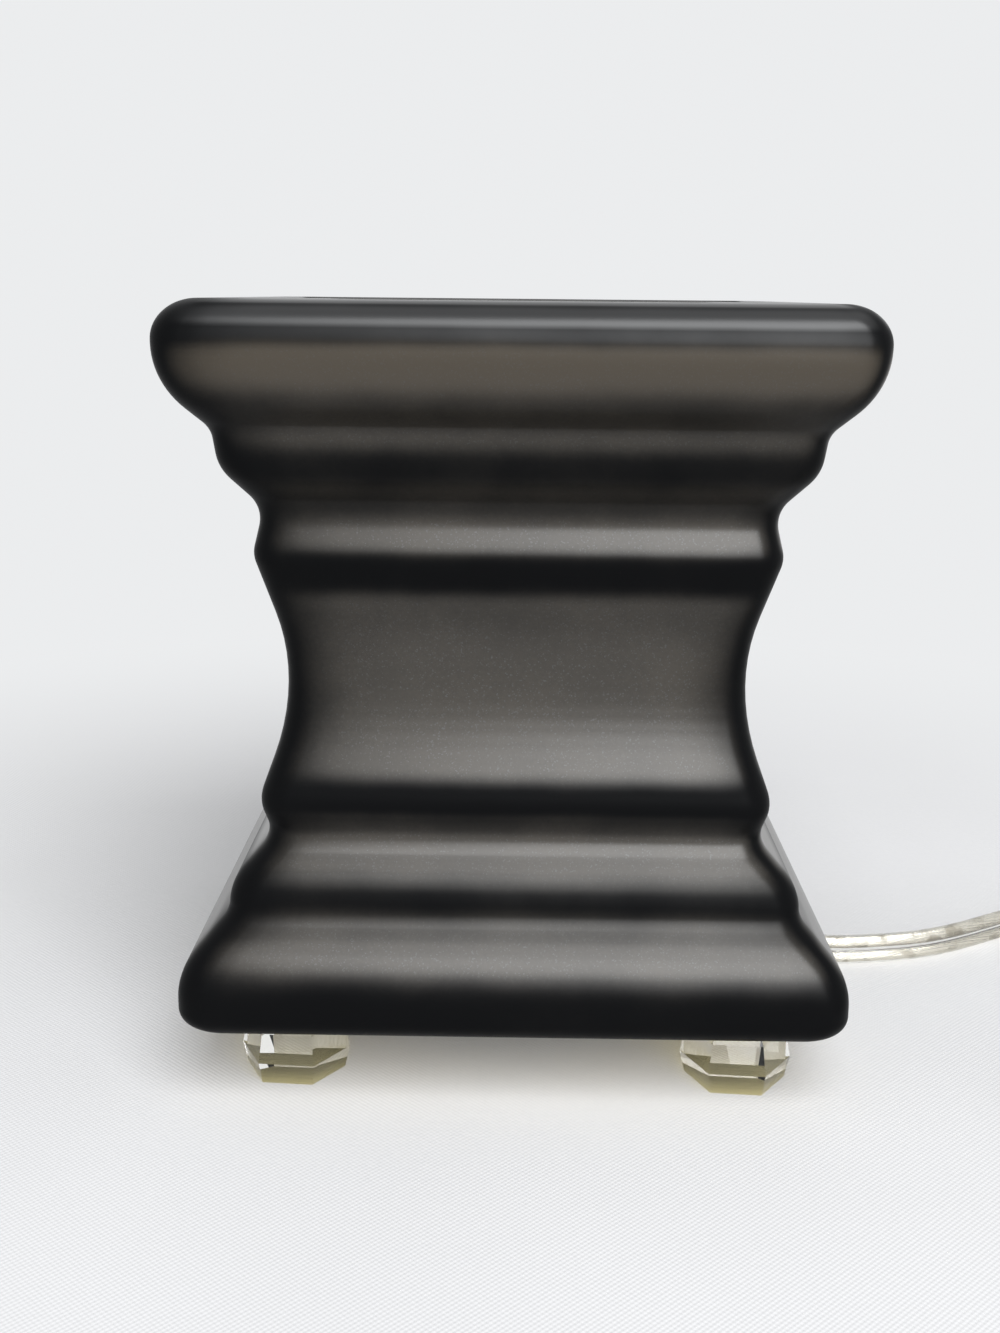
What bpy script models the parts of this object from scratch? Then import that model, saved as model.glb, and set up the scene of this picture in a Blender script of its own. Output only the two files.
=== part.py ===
"""A square, hourglass-shaped ceramic wax warmer on four crystal feet.

A lift-out dish sits in the top of a hollow body. A small globe bulb heats it
from below. A flat twin lead leaves through the plate that closes the bottom,
and carries an inline switch and a two-blade plug. Metres, +Z up, the table at
z = 0 and the body's axis on x = y = 0. The side facing -Y is the front.
"""
import math

import bmesh
import bpy
from mathutils import Matrix, Vector

# Clearances
SEAT_GAP = 0.0003        # between faces that rest on each other
BORE_GAP = 0.0003        # round a shank in its hole
RUN_CLEAR = 0.0001       # round a pin that something turns on
DISH_CLEAR = 0.0005      # round the dish in the body

# Crystal feet: hexagons, widest at the girdle
FOOT_HEIGHT = 0.0130
FOOT_GIRDLE_RADIUS = 0.0109
FOOT_GIRDLE_RISE = 0.0044
FOOT_BASE_RADIUS = 0.0099
FOOT_SHOULDER_RADIUS = 0.0098
FOOT_SHOULDER_RISE = 0.0102
FOOT_TABLE_RADIUS = 0.0082
FOOT_INSET = 0.0193      # of each foot's axis from the base's widest faces
GLUE_RADIUS = 0.0068
GLUE_THICK = 0.0006
# Each foot is glued on by hand: its turn in degrees, and its shift to the right and to the rear
FOOT_PLACING = {
    "front_left": (-4.5, 0.0009, 0.0006),
    "front_right": (-4.7, 0.0001, -0.0010),
    "rear_left": (6.0, 0.0005, 0.0003),
    "rear_right": (-4.0, -0.0004, 0.0006),
}

# Moulding of the body's upper half: half-width, height over the middle line and rounding
BODY_HALF = 0.0640       # at the crown, its widest part
BEAD_HALF = 0.0496
COVE_HALF = 0.0477
FASCIA_HALF = 0.0546
STEP_HALF = 0.0556
BEAD_RISE = 0.0232
COVE_RISE = 0.0317
FASCIA_RISE = 0.0397
STEP_RISE = 0.0469
CROWN_RISE = 0.0554
UPPER_RISE = 0.0697
BEAD_RADIUS = 0.0064
COVE_RADIUS = 0.0069
FASCIA_RADIUS = 0.0094
STEP_RADIUS = 0.0052
CROWN_RADIUS = 0.0163
TOP_RADIUS = 0.0070

# Waist, where its two flanks would meet unrounded
WAIST_HALF = 0.0418
WAIST_SINK = 0.0025      # under the middle line
WAIST_RADIUS = 0.0454

# Moulding of its lower half, a near mirror image: depths under the middle line
BASE_HALF = 0.0636
LOWER_COVE_HALF = 0.0473
LOWER_STEP_HALF = 0.0549
BEAD_DROP = 0.0246
COVE_DROP = 0.0319
FASCIA_DROP = 0.0395
STEP_DROP = 0.0452
CROWN_DROP = 0.0541
LOWER_DROP = 0.0665
LOWER_BEAD_RADIUS = 0.0081
LOWER_COVE_RADIUS = 0.0050
LOWER_FASCIA_RADIUS = 0.0102
LOWER_STEP_RADIUS = 0.0046
LOWER_CROWN_RADIUS = 0.0134
BASE_RADIUS = 0.0050
PLAN_RADIUS = 0.0060     # of the body's four upright corners

# Inside of the body
WALL = 0.0046
INNER_PLAN_RADIUS = 0.0020
INNER_LEAST_RADIUS = 0.0008
FLOOR_THICK = 0.0050
REBATE_HALF = 0.0505
REBATE_DEPTH = 0.0046
LEDGE_HALF = 0.0460
LEDGE_THICK = 0.0050
LEDGE_ROUND = 0.0008
BASE_OPENING_RADIUS = 0.0370

# Dish
DISH_RECESS = 0.0002     # of its rim below the body's top
DISH_DEPTH = 0.0165      # of its underside below its rim's
DISH_FOOT_HALF = 0.0320
DISH_FOOT_RADIUS = 0.0045
DISH_BEND_RISE = 0.0074  # of its flank's bend above its underside
DISH_BEND_RADIUS = 0.0090
DISH_WALL = 0.0038
DISH_FLOOR_LIFT = 0.0023 # of the bend inside over the one outside
DISH_MOUTH_LEAN = 0.0017 # by which its wall thins towards the mouth
DISH_RIM_ROUND = 0.0014
DISH_LIP_ROUND = 0.0008  # under its rim

# Plate, its screws and its vents
PLATE_RADIUS = 0.0440
PLATE_THICK = 0.0012
PLATE_ROLL = 0.0005      # of its lower edge
SCREW_CIRCLE = 0.0405
SCREW_COUNT = 3
SCREW_SHANK_RADIUS = 0.0013
SCREW_HEAD_RADIUS = 0.0029
SCREW_HEAD_HEIGHT = 0.0018
SCREW_HEAD_DRAW = 0.0009 # of its rounded end
ANCHOR_RADIUS = 0.0030
ANCHOR_HEAD_RADIUS = 0.0042
ANCHOR_HEAD_HEIGHT = 0.0012
VENT_RADIUS = 0.0026
VENT_CIRCLE = 0.0290
VENT_COUNT = 10

# Socket and the strap that carries it
STRAP_HALF_WIDTH = 0.0060
STRAP_THICK = 0.0012
STRAP_DECK_RISE = 0.0080
STRAP_DECK_HALF = 0.0100
STRAP_FOOT_HALF = 0.0190
STRAP_LEAN = 0.0012      # of its legs
STRAP_BEND = 0.0006      # inside each bend
RIVET_OFFSET = 0.0152
RIVET_RADIUS = 0.0013
RIVET_HEAD_RADIUS = 0.0023
RIVET_HEAD_HEIGHT = 0.0010
SOCKET_RADIUS = 0.0110
SOCKET_NECK_RADIUS = 0.0094
SOCKET_HEIGHT = 0.0245
SOCKET_SHOULDER_RISE = 0.0110
SOCKET_RIM_ROUND = 0.0006
SOCKET_BASE_THICK = 0.0045
SOCKET_SCREW_BITE = 0.0027
SOCKET_BORE_RADIUS = 0.0070
SLEEVE_WALL = 0.0004
SLEEVE_HOLE_RADIUS = 0.0037  # round the centre contact
CONTACT_RADIUS = 0.0022
CONTACT_STEP = 0.0010
CONTACT_BUTTON_RADIUS = 0.0013
CONTACT_HEIGHT = 0.0024

# Bulb with a 12 mm screw cap
CAP_RADIUS = 0.0059
CAP_HEIGHT = 0.0185
CAP_END_DRAW = 0.0008    # at its lower end
CAP_COLLAR = 0.0012      # the straight part that holds the glass
CAP_FLARE = 0.0010       # the cone under it
INSULATOR_HEIGHT = 0.0022
INSULATOR_DRAW = 0.0012  # of its upper end inside the cap's radius
INSULATOR_LOW_RADIUS = 0.0026
TIP_RADIUS = 0.0017
TIP_HEIGHT = 0.0010
TIP_ROUND = 0.0005
GLOBE_RADIUS = 0.0260
GLOBE_RISE = 0.0500      # of the globe's middle above the cap's bottom
NECK_RADIUS = 0.0080
NECK_ANGLE = math.radians(-58)  # where the neck runs into the globe, from its equator
NECK_STEPS = 5
GLOBE_STEPS = 10
GLASS_WALL = 0.0007
STEM_RADIUS = 0.0035
STEM_SINK = 0.0030       # into the cap
STEM_HEIGHT = 0.0160
STEM_PINCH_RADIUS = 0.0016
STEM_PINCH_RISE = 0.0112
STEM_TOP_RADIUS = 0.0021
WIRE_FOOT_OFFSET = 0.0012
WIRE_STRAIGHT = 0.0010   # at each end of a support wire
FILAMENT_RISE = 0.0420   # above the cap's bottom
FILAMENT_HALF_SPAN = 0.0080
FILAMENT_ARCH = 0.0015
FILAMENT_STEPS = 12
FILAMENT_WIRE_RADIUS = 0.0003
SUPPORT_WIRE_RADIUS = 0.0003

# Flat twin lead, on edge, and what it passes through
CORD_WIDTH = 0.0068
CORD_THICK = 0.0034
CORD_CLEAR = 0.00015     # under the lead where it lies on the table
BUSHING_X = 0.0140
BUSHING_Y = 0.0070
BUSHING_NECK_RADIUS = 0.0048
BUSHING_FLANGE_RADIUS = 0.0068
BUSHING_FLANGE_THICK = 0.0018
BUSHING_FLANGE_DRAW = 0.0010  # of its upper flange's edge
BUSHING_END_DRAW = 0.0005     # of its neck's lower end
BUSHING_REACH = 0.0009        # of that end below the boot's axis
BOOT_END_X = 0.0460
BOOT_AXIS_Z = 0.0072
BOOT_ROOT_RADIUS = 0.0047
BOOT_ROOT_SHARE = 0.65   # of its rounded end's width to its root's
BOOT_ROOT_ROUND = 0.0015 # length of that rounding
BOOT_LIP = 0.0009        # of the boot round the lead at its tip
BOOT_PLAIN = 0.0170      # from its root to its first groove
BOOT_TIP = 0.0012        # past its last rib
BOOT_RIBS = 5
BOOT_GROOVE_SHARE = 0.90 # of a groove's width to the boot's
INNER_LEAD_RADIUS = 0.0011
INNER_LEAD_PART = 0.0015 # of each inner lead from the bushing's axis
INNER_LEAD_ANGLES = (math.radians(8), math.radians(40))  # where they reach the socket
INNER_LEAD_RISE = 0.0050 # above the socket's underside there
INNER_LEAD_STRAIGHT = 0.0028

# Inline switch, lying along Y
SWITCH_X = 0.2620
SWITCH_Y = -0.0160
SWITCH_LENGTH = 0.0600
SWITCH_HALF_WIDTH = 0.0125
SWITCH_END_HALF = 0.0062
SWITCH_HEIGHT = 0.0172
SWITCH_ROUND = 0.0030     # of its long edges
SWITCH_FACE_SHARE = 0.80  # of its flat face's width to its own
SWITCH_EDGE_SHARE = 0.93  # of its width halfway round those edges
SWITCH_END_DRAW = 0.0040  # by which its ends lean in towards the top and bottom
SWITCH_CLEAR = 0.0002    # under it
WHEEL_RADIUS = 0.0105
WHEEL_THICK = 0.0044
WHEEL_SHIFT = 0.0042     # of the wheel's axis from the housing's
WHEEL_RIDGES = 24
WHEEL_RIDGE_DEPTH = 0.0005
WHEEL_CLEAR = 0.0005      # round the wheel in its pocket
WHEEL_CHAMFER = 0.0005
PIN_RADIUS = 0.0014
PIN_REACH = 0.0022        # into each half of the housing
SWITCH_SCREW_OFFSET = 0.0170
SWITCH_SCREW_SINK = 0.0010    # of its head
SWITCH_SCREW_BITE = 0.0045    # into the upper half

# Coil of the lead
COIL_X = 0.2030
COIL_Y = -0.0360
COIL_OUTER_RADIUS = 0.0405
COIL_TURNS_A_LAYER = 2.25
COIL_SIDE_STEP = 0.0041
COIL_LAYER_STEP = 0.0073
COIL_POINTS_A_TURN = 24

# Plug, lying along X
PLUG_REAR_X = 0.1500
PLUG_LENGTH = 0.0300
PLUG_HALF_WIDTH = 0.0122
PLUG_HALF_HEIGHT = 0.0075
PLUG_REAR_HALF_WIDTH = 0.0052
PLUG_REAR_HALF_HEIGHT = 0.0050
# Its outline: (share of its length from the rear, share of the way from its rear's size to its full size)
PLUG_SWELL = [
    (0.0, 0.0),
    (0.10, 0.06),
    (0.30, 0.20),
    (0.45, 0.50),
    (0.58, 0.85),
    (0.70, 1.0),
    (0.96, 1.0),
    (1.0, 0.93),
]
BLADE_LENGTH = 0.0165
BLADE_WIDTH = 0.0063
BLADE_THICK = 0.0015
BLADE_SPACING = 0.0127
BLADE_ROOT = 0.0050
BLADE_TIP_LENGTH = 0.0012
BLADE_TIP_DRAW = 0.0009
BLADE_HOLE_RADIUS = 0.0015
BLADE_HOLE_INSET = 0.0034 # from its tip

# Steps of round shapes
ARC_STEP = math.radians(18)
INNER_ARC_STEP = math.radians(40)
DISH_ARC_STEP = math.radians(22)
STRAP_ARC_STEP = math.radians(48)
CORNER_STEPS = 4
DISH_CORNER_STEPS = 3
PLATE_STEPS = 48
ROUND_STEPS = 26
BULB_STEPS = 22
SMALL_STEPS = 16
RIVET_STEPS = 12
BOOT_STEPS = 16
PLUG_STEPS = 24
SWITCH_STEPS = 36

# Places that follow
FOOT_OFFSET = BASE_HALF - FOOT_INSET
BODY_BOTTOM = FOOT_HEIGHT + SEAT_GAP + GLUE_THICK + SEAT_GAP
WAIST_Z = BODY_BOTTOM + LOWER_DROP
BODY_TOP = WAIST_Z + UPPER_RISE
FLOOR_Z = BODY_BOTTOM + FLOOR_THICK
LEDGE_Z = BODY_TOP - REBATE_DEPTH
PLATE_TOP = BODY_BOTTOM - SEAT_GAP
PLATE_BOTTOM = PLATE_TOP - PLATE_THICK
STRAP_FOOT_Z = PLATE_TOP + SEAT_GAP
DECK_TOP = STRAP_FOOT_Z + STRAP_DECK_RISE
SOCKET_Z = DECK_TOP + SEAT_GAP
SOCKET_FLOOR_Z = SOCKET_Z + SOCKET_BASE_THICK
CONTACT_Z = SOCKET_FLOOR_Z + SEAT_GAP
TIP_Z = CONTACT_Z + CONTACT_HEIGHT + SEAT_GAP
CAP_Z = TIP_Z + TIP_HEIGHT + SEAT_GAP + INSULATOR_HEIGHT
GLASS_Z = CAP_Z + CAP_HEIGHT - INSULATOR_HEIGHT + SEAT_GAP
GLOBE_Z = CAP_Z + GLOBE_RISE
CORD_Z = CORD_WIDTH / 2 + CORD_CLEAR
SWITCH_AXIS_Z = SWITCH_CLEAR + SWITCH_HEIGHT / 2
BUSHING_TOP = PLATE_TOP + SEAT_GAP + BUSHING_FLANGE_THICK
PLUG_AXIS_Z = PLUG_HALF_HEIGHT + CORD_CLEAR


def clear_scene():
    for thing in list(bpy.data.objects):
        bpy.data.objects.remove(thing, do_unlink=True)


def material(name, color, roughness, metallic=0.0, alpha=1.0):
    made = bpy.data.materials.new(name)
    made.use_nodes = True
    shader = made.node_tree.nodes["Principled BSDF"]
    shader.inputs["Base Color"].default_value = (*color, 1.0)
    shader.inputs["Roughness"].default_value = roughness
    shader.inputs["Metallic"].default_value = metallic
    shader.inputs["Alpha"].default_value = alpha
    return made


# Shared geometry


def rounded(corners, step=ARC_STEP):
    """Points of an open outline of (across, up, radius) corners, each rounded by an arc."""
    points = [Vector(c[:2]) for c in corners]
    last = len(points) - 1
    reach = [0.0] * len(points)
    turn = [0.0] * len(points)
    for i in range(1, last):
        before = points[i] - points[i - 1]
        after = points[i + 1] - points[i]
        turn[i] = before.angle_signed(after, 0.0)
        reach[i] = corners[i][2] * math.tan(abs(turn[i]) / 2)
    for i in range(last):
        room = 0.995 * (points[i + 1] - points[i]).length
        wanted = reach[i] + reach[i + 1]
        if wanted > room:
            reach[i] *= room / wanted
            reach[i + 1] *= room / wanted
    made = [points[0]]
    for i in range(1, last):
        if reach[i] < 1e-6:
            made.append(points[i])
            continue
        back = (points[i - 1] - points[i]).normalized()
        ahead = (points[i + 1] - points[i]).normalized()
        radius = reach[i] / math.tan(abs(turn[i]) / 2)
        middle = points[i] + (back + ahead).normalized() * math.hypot(reach[i], radius)
        start = points[i] + back * reach[i] - middle
        count = max(2, math.ceil(abs(turn[i]) / step))
        for k in range(count + 1):
            made.append(middle + Matrix.Rotation(-turn[i] * k / count, 2) @ start)
    made.append(points[last])
    return [(p.x, p.y) for p in made]


def inset(corners, distance, least):
    """The corners of an upward outline, moved inwards by distance, with their radii to suit."""
    points = [Vector(c[:2]) for c in corners]
    lines = []
    for a, b in zip(points, points[1:]):
        along = (b - a).normalized()
        inward = Vector((-along.y, along.x))
        lines.append((a + inward * distance, along, inward))
    made = [(*lines[0][0], 0.0)]
    for i in range(1, len(points) - 1):
        start, along, _ = lines[i - 1]
        other, _, inward = lines[i]
        share = (other - start).dot(inward) / along.dot(inward)
        outward = lines[i - 1][1].cross(lines[i][1]) > 0
        radius = corners[i][2] - distance if outward else corners[i][2] + distance
        made.append((*(start + along * share), max(radius, least)))
    made.append((*(points[-1] + lines[-1][2] * distance), 0.0))
    return made


def square_ring(half, radius, z, steps=CORNER_STEPS):
    """A ring of points on a square with rounded corners."""
    radius = min(radius, half * 0.95)
    points = []
    for corner in range(4):
        start = corner * math.pi / 2
        middle = Matrix.Rotation(start, 3, "Z") @ Vector((half - radius, half - radius, z))
        for k in range(steps + 1):
            angle = start + math.pi / 2 * k / steps
            points.append(middle + radius * Vector((math.cos(angle), math.sin(angle), 0)))
    return points


def oval_ring(middle, half_across, half_up, count, power):
    """A ring round the X direction, between an ellipse (power 2) and a rectangle."""
    x, y, z = middle
    points = []
    for k in range(count):
        angle = 2 * math.pi * k / count
        c, s = math.cos(angle), math.sin(angle)
        across = half_across * math.copysign(abs(c) ** (2 / power), c)
        up = half_up * math.copysign(abs(s) ** (2 / power), s)
        points.append(Vector((x, y + across, z + up)))
    return points


def add_object(name, bm, finish, flat=False):
    bmesh.ops.remove_doubles(bm, verts=bm.verts, dist=1e-7)
    bmesh.ops.recalc_face_normals(bm, faces=bm.faces)
    mesh = bpy.data.meshes.new(name)
    bm.to_mesh(mesh)
    bm.free()
    if not flat:
        mesh.shade_smooth()
        mesh.set_sharp_from_angle(angle=math.radians(38))
    mesh.materials.append(finish)
    made = bpy.data.objects.new(name, mesh)
    bpy.context.scene.collection.objects.link(made)
    return made


def loft(name, rings, finish, flat=False):
    """A closed solid through rings of equal counts, capped at both ends."""
    bm = bmesh.new()
    rows = [[bm.verts.new(p) for p in ring] for ring in rings]
    count = len(rows[0])
    for low, high in zip(rows, rows[1:]):
        for k in range(count):
            bm.faces.new((low[k], low[(k + 1) % count], high[(k + 1) % count], high[k]))
    bm.faces.new(rows[0])
    bm.faces.new(rows[-1])
    return add_object(name, bm, finish, flat)


def lathe(name, profile, finish, place=(0, 0, 0), steps=SMALL_STEPS, closed=False):
    """A solid turned about Z from (radius, height) points; a closed profile makes a tube."""
    bm = bmesh.new()
    rows = []
    for radius, height in profile:
        if radius < 1e-7:
            rows.append([Vector((0, 0, height))])
            continue
        angles = (2 * math.pi * k / steps for k in range(steps))
        rows.append([bm.verts.new((radius * math.cos(a), radius * math.sin(a), height)) for a in angles])
    pairs = list(zip(rows, rows[1:]))
    if closed:
        pairs.append((rows[-1], rows[0]))
    for low, high in pairs:
        if len(low) == len(high) == 1:
            continue
        if len(low) > 1 and len(high) > 1:
            for k in range(steps):
                after = (k + 1) % steps
                bm.faces.new((low[k], low[after], high[after], high[k]))
            continue
        ring, tip = (low, high[0]) if len(low) > 1 else (high, low[0])
        if abs(ring[0].co.z - tip.z) < 1e-7:
            bm.faces.new(ring)
            continue
        point = bm.verts.new(tip)
        for k in range(steps):
            bm.faces.new((ring[k], ring[(k + 1) % steps], point))
    made = add_object(name, bm, finish)
    made.location = place
    return made


def stepped(*runs):
    """The profile of a stack of cylinders from (radius, low, high), closed on the axis."""
    profile = [(0.0, runs[0][1])]
    for radius, low, high in runs:
        profile += [(radius, low), (radius, high)]
    profile.append((0.0, runs[-1][2]))
    return profile


def rod_cutter(name, places, radius, low, high, steps=SMALL_STEPS):
    """Upright rods at (x, y) places, to be cut from another piece."""
    bm = bmesh.new()
    for x, y in places:
        matrix = Matrix.Translation((x, y, (low + high) / 2))
        bmesh.ops.create_cone(
            bm, cap_ends=True, segments=steps, radius1=radius, radius2=radius, depth=high - low, matrix=matrix
        )
    return as_cutter(name, bm)


def box_cutter(name, low, high):
    bm = bmesh.new()
    size = Vector(high) - Vector(low)
    middle = (Vector(high) + Vector(low)) / 2
    matrix = Matrix.Translation(middle) @ Matrix.Diagonal((*size, 1.0))
    bmesh.ops.create_cube(bm, size=1.0, matrix=matrix)
    return as_cutter(name, bm)


def as_cutter(name, bm):
    bmesh.ops.recalc_face_normals(bm, faces=bm.faces)
    mesh = bpy.data.meshes.new(name)
    bm.to_mesh(mesh)
    bm.free()
    made = bpy.data.objects.new(name, mesh)
    bpy.context.scene.collection.objects.link(made)
    made.hide_render = True
    made.display_type = "WIRE"
    return made


def combine(target, other, operation="DIFFERENCE"):
    change = target.modifiers.new(other.name, "BOOLEAN")
    change.object = other
    change.operation = operation
    change.solver = "EXACT"
    return target


def hidden(made):
    """Keeps a helper shape that another piece takes in by a Boolean out of the model."""
    made.hide_render = True
    made.display_type = "WIRE"
    return made


def smooth_route(points, spacing):
    """Evenly spaced points on a smooth curve through all but the first and last of the points.

    The curve's ends lead straight to those two, which are added to it.
    """
    ends = [Vector(p) for p in points]
    fine = []
    for a, b, c, d in zip(ends, ends[1:], ends[2:], ends[3:]):
        t1 = math.sqrt((b - a).length)
        t2 = t1 + math.sqrt((c - b).length)
        t3 = t2 + math.sqrt((d - c).length)
        for k in range(12):
            t = t1 + (t2 - t1) * k / 12
            ab = a.lerp(b, t / t1)
            bc = b.lerp(c, (t - t1) / (t2 - t1))
            cd = c.lerp(d, (t - t2) / (t3 - t2))
            fine.append(ab.lerp(bc, t / t2).lerp(bc.lerp(cd, (t - t1) / (t3 - t1)), (t - t1) / (t2 - t1)))
    fine.append(ends[-2])
    along = [0.0]
    for a, b in zip(fine, fine[1:]):
        along.append(along[-1] + (b - a).length)
    count = max(2, round(along[-1] / spacing))
    made, k = [], 0
    for i in range(count + 1):
        at = along[-1] * i / count
        while k < len(fine) - 2 and along[k + 1] < at:
            k += 1
        share = (at - along[k]) / (along[k + 1] - along[k])
        made.append(fine[k].lerp(fine[k + 1], share))
    return [ends[0], *made, ends[-1]]


def wire(name, points, radius, finish, resolution=2, half_web=0.0):
    """A tube along points; half_web widens it upwards and downwards into a flat twin lead."""
    curve = bpy.data.curves.new(name, "CURVE")
    curve.dimensions = "3D"
    curve.twist_mode = "Z_UP"
    curve.bevel_depth = radius
    curve.bevel_resolution = resolution
    curve.extrude = half_web
    curve.use_fill_caps = True
    curve.render_resolution_u = 0
    line = curve.splines.new("POLY")
    line.points.add(len(points) - 1)
    for spot, p in zip(line.points, points):
        spot.co = (*p, 1.0)
    curve.materials.append(finish)
    made = bpy.data.objects.new(name, curve)
    bpy.context.scene.collection.objects.link(made)
    return made


def lead_section(name, points, resolution, finish):
    half = CORD_THICK / 2
    return wire(name, points, half, finish, resolution, (CORD_WIDTH - CORD_THICK) / 2)


def spots_round(count, radius, start):
    angles = (start + 2 * math.pi * k / count for k in range(count))
    return [(radius * math.cos(a), radius * math.sin(a)) for a in angles]


# Ceramic pieces


def moulding_corners():
    """The outer outline, from the base's widest part up to the crown's."""
    lower = [
        (BASE_HALF, WAIST_Z - CROWN_DROP, LOWER_CROWN_RADIUS),
        (LOWER_STEP_HALF, WAIST_Z - STEP_DROP, LOWER_STEP_RADIUS),
        (FASCIA_HALF, WAIST_Z - FASCIA_DROP, LOWER_FASCIA_RADIUS),
        (LOWER_COVE_HALF, WAIST_Z - COVE_DROP, LOWER_COVE_RADIUS),
        (BEAD_HALF, WAIST_Z - BEAD_DROP, LOWER_BEAD_RADIUS),
    ]
    upper = [
        (BEAD_HALF, WAIST_Z + BEAD_RISE, BEAD_RADIUS),
        (COVE_HALF, WAIST_Z + COVE_RISE, COVE_RADIUS),
        (FASCIA_HALF, WAIST_Z + FASCIA_RISE, FASCIA_RADIUS),
        (STEP_HALF, WAIST_Z + STEP_RISE, STEP_RADIUS),
        (BODY_HALF, WAIST_Z + CROWN_RISE, CROWN_RADIUS),
    ]
    return [*lower, (WAIST_HALF, WAIST_Z - WAIST_SINK, WAIST_RADIUS), *upper]


def screw_spots():
    return spots_round(SCREW_COUNT, SCREW_CIRCLE, math.pi / 2)


def build_body(finish):
    inner_half = BODY_HALF - WALL
    outside = [
        (BASE_HALF - 2 * BASE_RADIUS, BODY_BOTTOM, 0.0),
        (BASE_HALF, BODY_BOTTOM, BASE_RADIUS),
        *moulding_corners(),
        (BODY_HALF, BODY_TOP, TOP_RADIUS),
        (REBATE_HALF, BODY_TOP, LEDGE_ROUND),
        (REBATE_HALF, LEDGE_Z, 0.0),
    ]
    ledge = [
        (REBATE_HALF, LEDGE_Z, 0.0),
        (LEDGE_HALF, LEDGE_Z, LEDGE_ROUND),
        (LEDGE_HALF, LEDGE_Z - LEDGE_THICK, LEDGE_ROUND),
        (inner_half, LEDGE_Z - LEDGE_THICK, 0.0),
    ]
    walls = [(BASE_HALF, FLOOR_Z, 0.0), *moulding_corners(), (BODY_HALF, LEDGE_Z - LEDGE_THICK, 0.0)]
    inside = inset(walls, WALL, INNER_LEAST_RADIUS)
    rings = [square_ring(h, PLAN_RADIUS, z) for h, z in rounded(outside)[1:]]
    rings += [square_ring(h, PLAN_RADIUS, z) for h, z in rounded(ledge)[1:-1]]
    rings += [square_ring(h, INNER_PLAN_RADIUS, z) for h, z in reversed(rounded(inside, INNER_ARC_STEP))]
    body = loft("body_shell", rings, finish)
    combine(body, rod_cutter("base_opening", [(0, 0)], BASE_OPENING_RADIUS, 0.0, 2 * FLOOR_Z, PLATE_STEPS))
    hole = ANCHOR_RADIUS + BORE_GAP
    combine(body, rod_cutter("anchor_holes", screw_spots(), hole, 0.0, 2 * FLOOR_Z))
    return body


def build_dish(finish):
    rim = REBATE_HALF - DISH_CLEAR
    bowl = LEDGE_HALF - DISH_CLEAR
    under = LEDGE_Z + SEAT_GAP
    top = BODY_TOP - DISH_RECESS
    bottom = under - DISH_DEPTH
    bend = bottom + DISH_BEND_RISE
    inner_foot = DISH_FOOT_HALF - DISH_WALL
    outline = [
        (DISH_FOOT_HALF / 2, bottom, 0.0),
        (DISH_FOOT_HALF, bottom, DISH_FOOT_RADIUS),
        (bowl, bend, DISH_BEND_RADIUS),
        (bowl, under, DISH_LIP_ROUND),
        (rim, under, DISH_LIP_ROUND),
        (rim, top, DISH_RIM_ROUND),
        (bowl - DISH_WALL + DISH_MOUTH_LEAN, top, DISH_RIM_ROUND),
        (bowl - DISH_WALL, bend + DISH_FLOOR_LIFT, DISH_BEND_RADIUS),
        (inner_foot, bottom + DISH_WALL, DISH_BEND_RADIUS),
        (inner_foot / 2, bottom + DISH_WALL, 0.0),
    ]
    radius = PLAN_RADIUS - DISH_CLEAR
    rings = [square_ring(h, radius, z, DISH_CORNER_STEPS) for h, z in rounded(outline, DISH_ARC_STEP)]
    return loft("wax_dish", rings, finish)


# Feet


def build_feet(crystal, glue):
    levels = [
        (FOOT_BASE_RADIUS, 0.0),
        (FOOT_GIRDLE_RADIUS, FOOT_GIRDLE_RISE),
        (FOOT_SHOULDER_RADIUS, FOOT_SHOULDER_RISE),
        (FOOT_TABLE_RADIUS, FOOT_HEIGHT),
    ]
    for name, (turn, shift_x, shift_y) in FOOT_PLACING.items():
        x = shift_x + (FOOT_OFFSET if name.endswith("right") else -FOOT_OFFSET)
        y = shift_y + (FOOT_OFFSET if name.startswith("rear") else -FOOT_OFFSET)
        rings = []
        for radius, z in levels:
            angles = (math.radians(turn + 60 * k) for k in range(6))
            rings.append([Vector((radius * math.cos(a), radius * math.sin(a), z)) for a in angles])
        foot = loft("foot_" + name, rings, crystal, flat=True)
        foot.location = (x, y, 0)
        low = FOOT_HEIGHT + SEAT_GAP
        lathe("foot_glue_" + name, stepped((GLUE_RADIUS, low, low + GLUE_THICK)), glue, (x, y, 0))


# Plate, screws and socket


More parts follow.
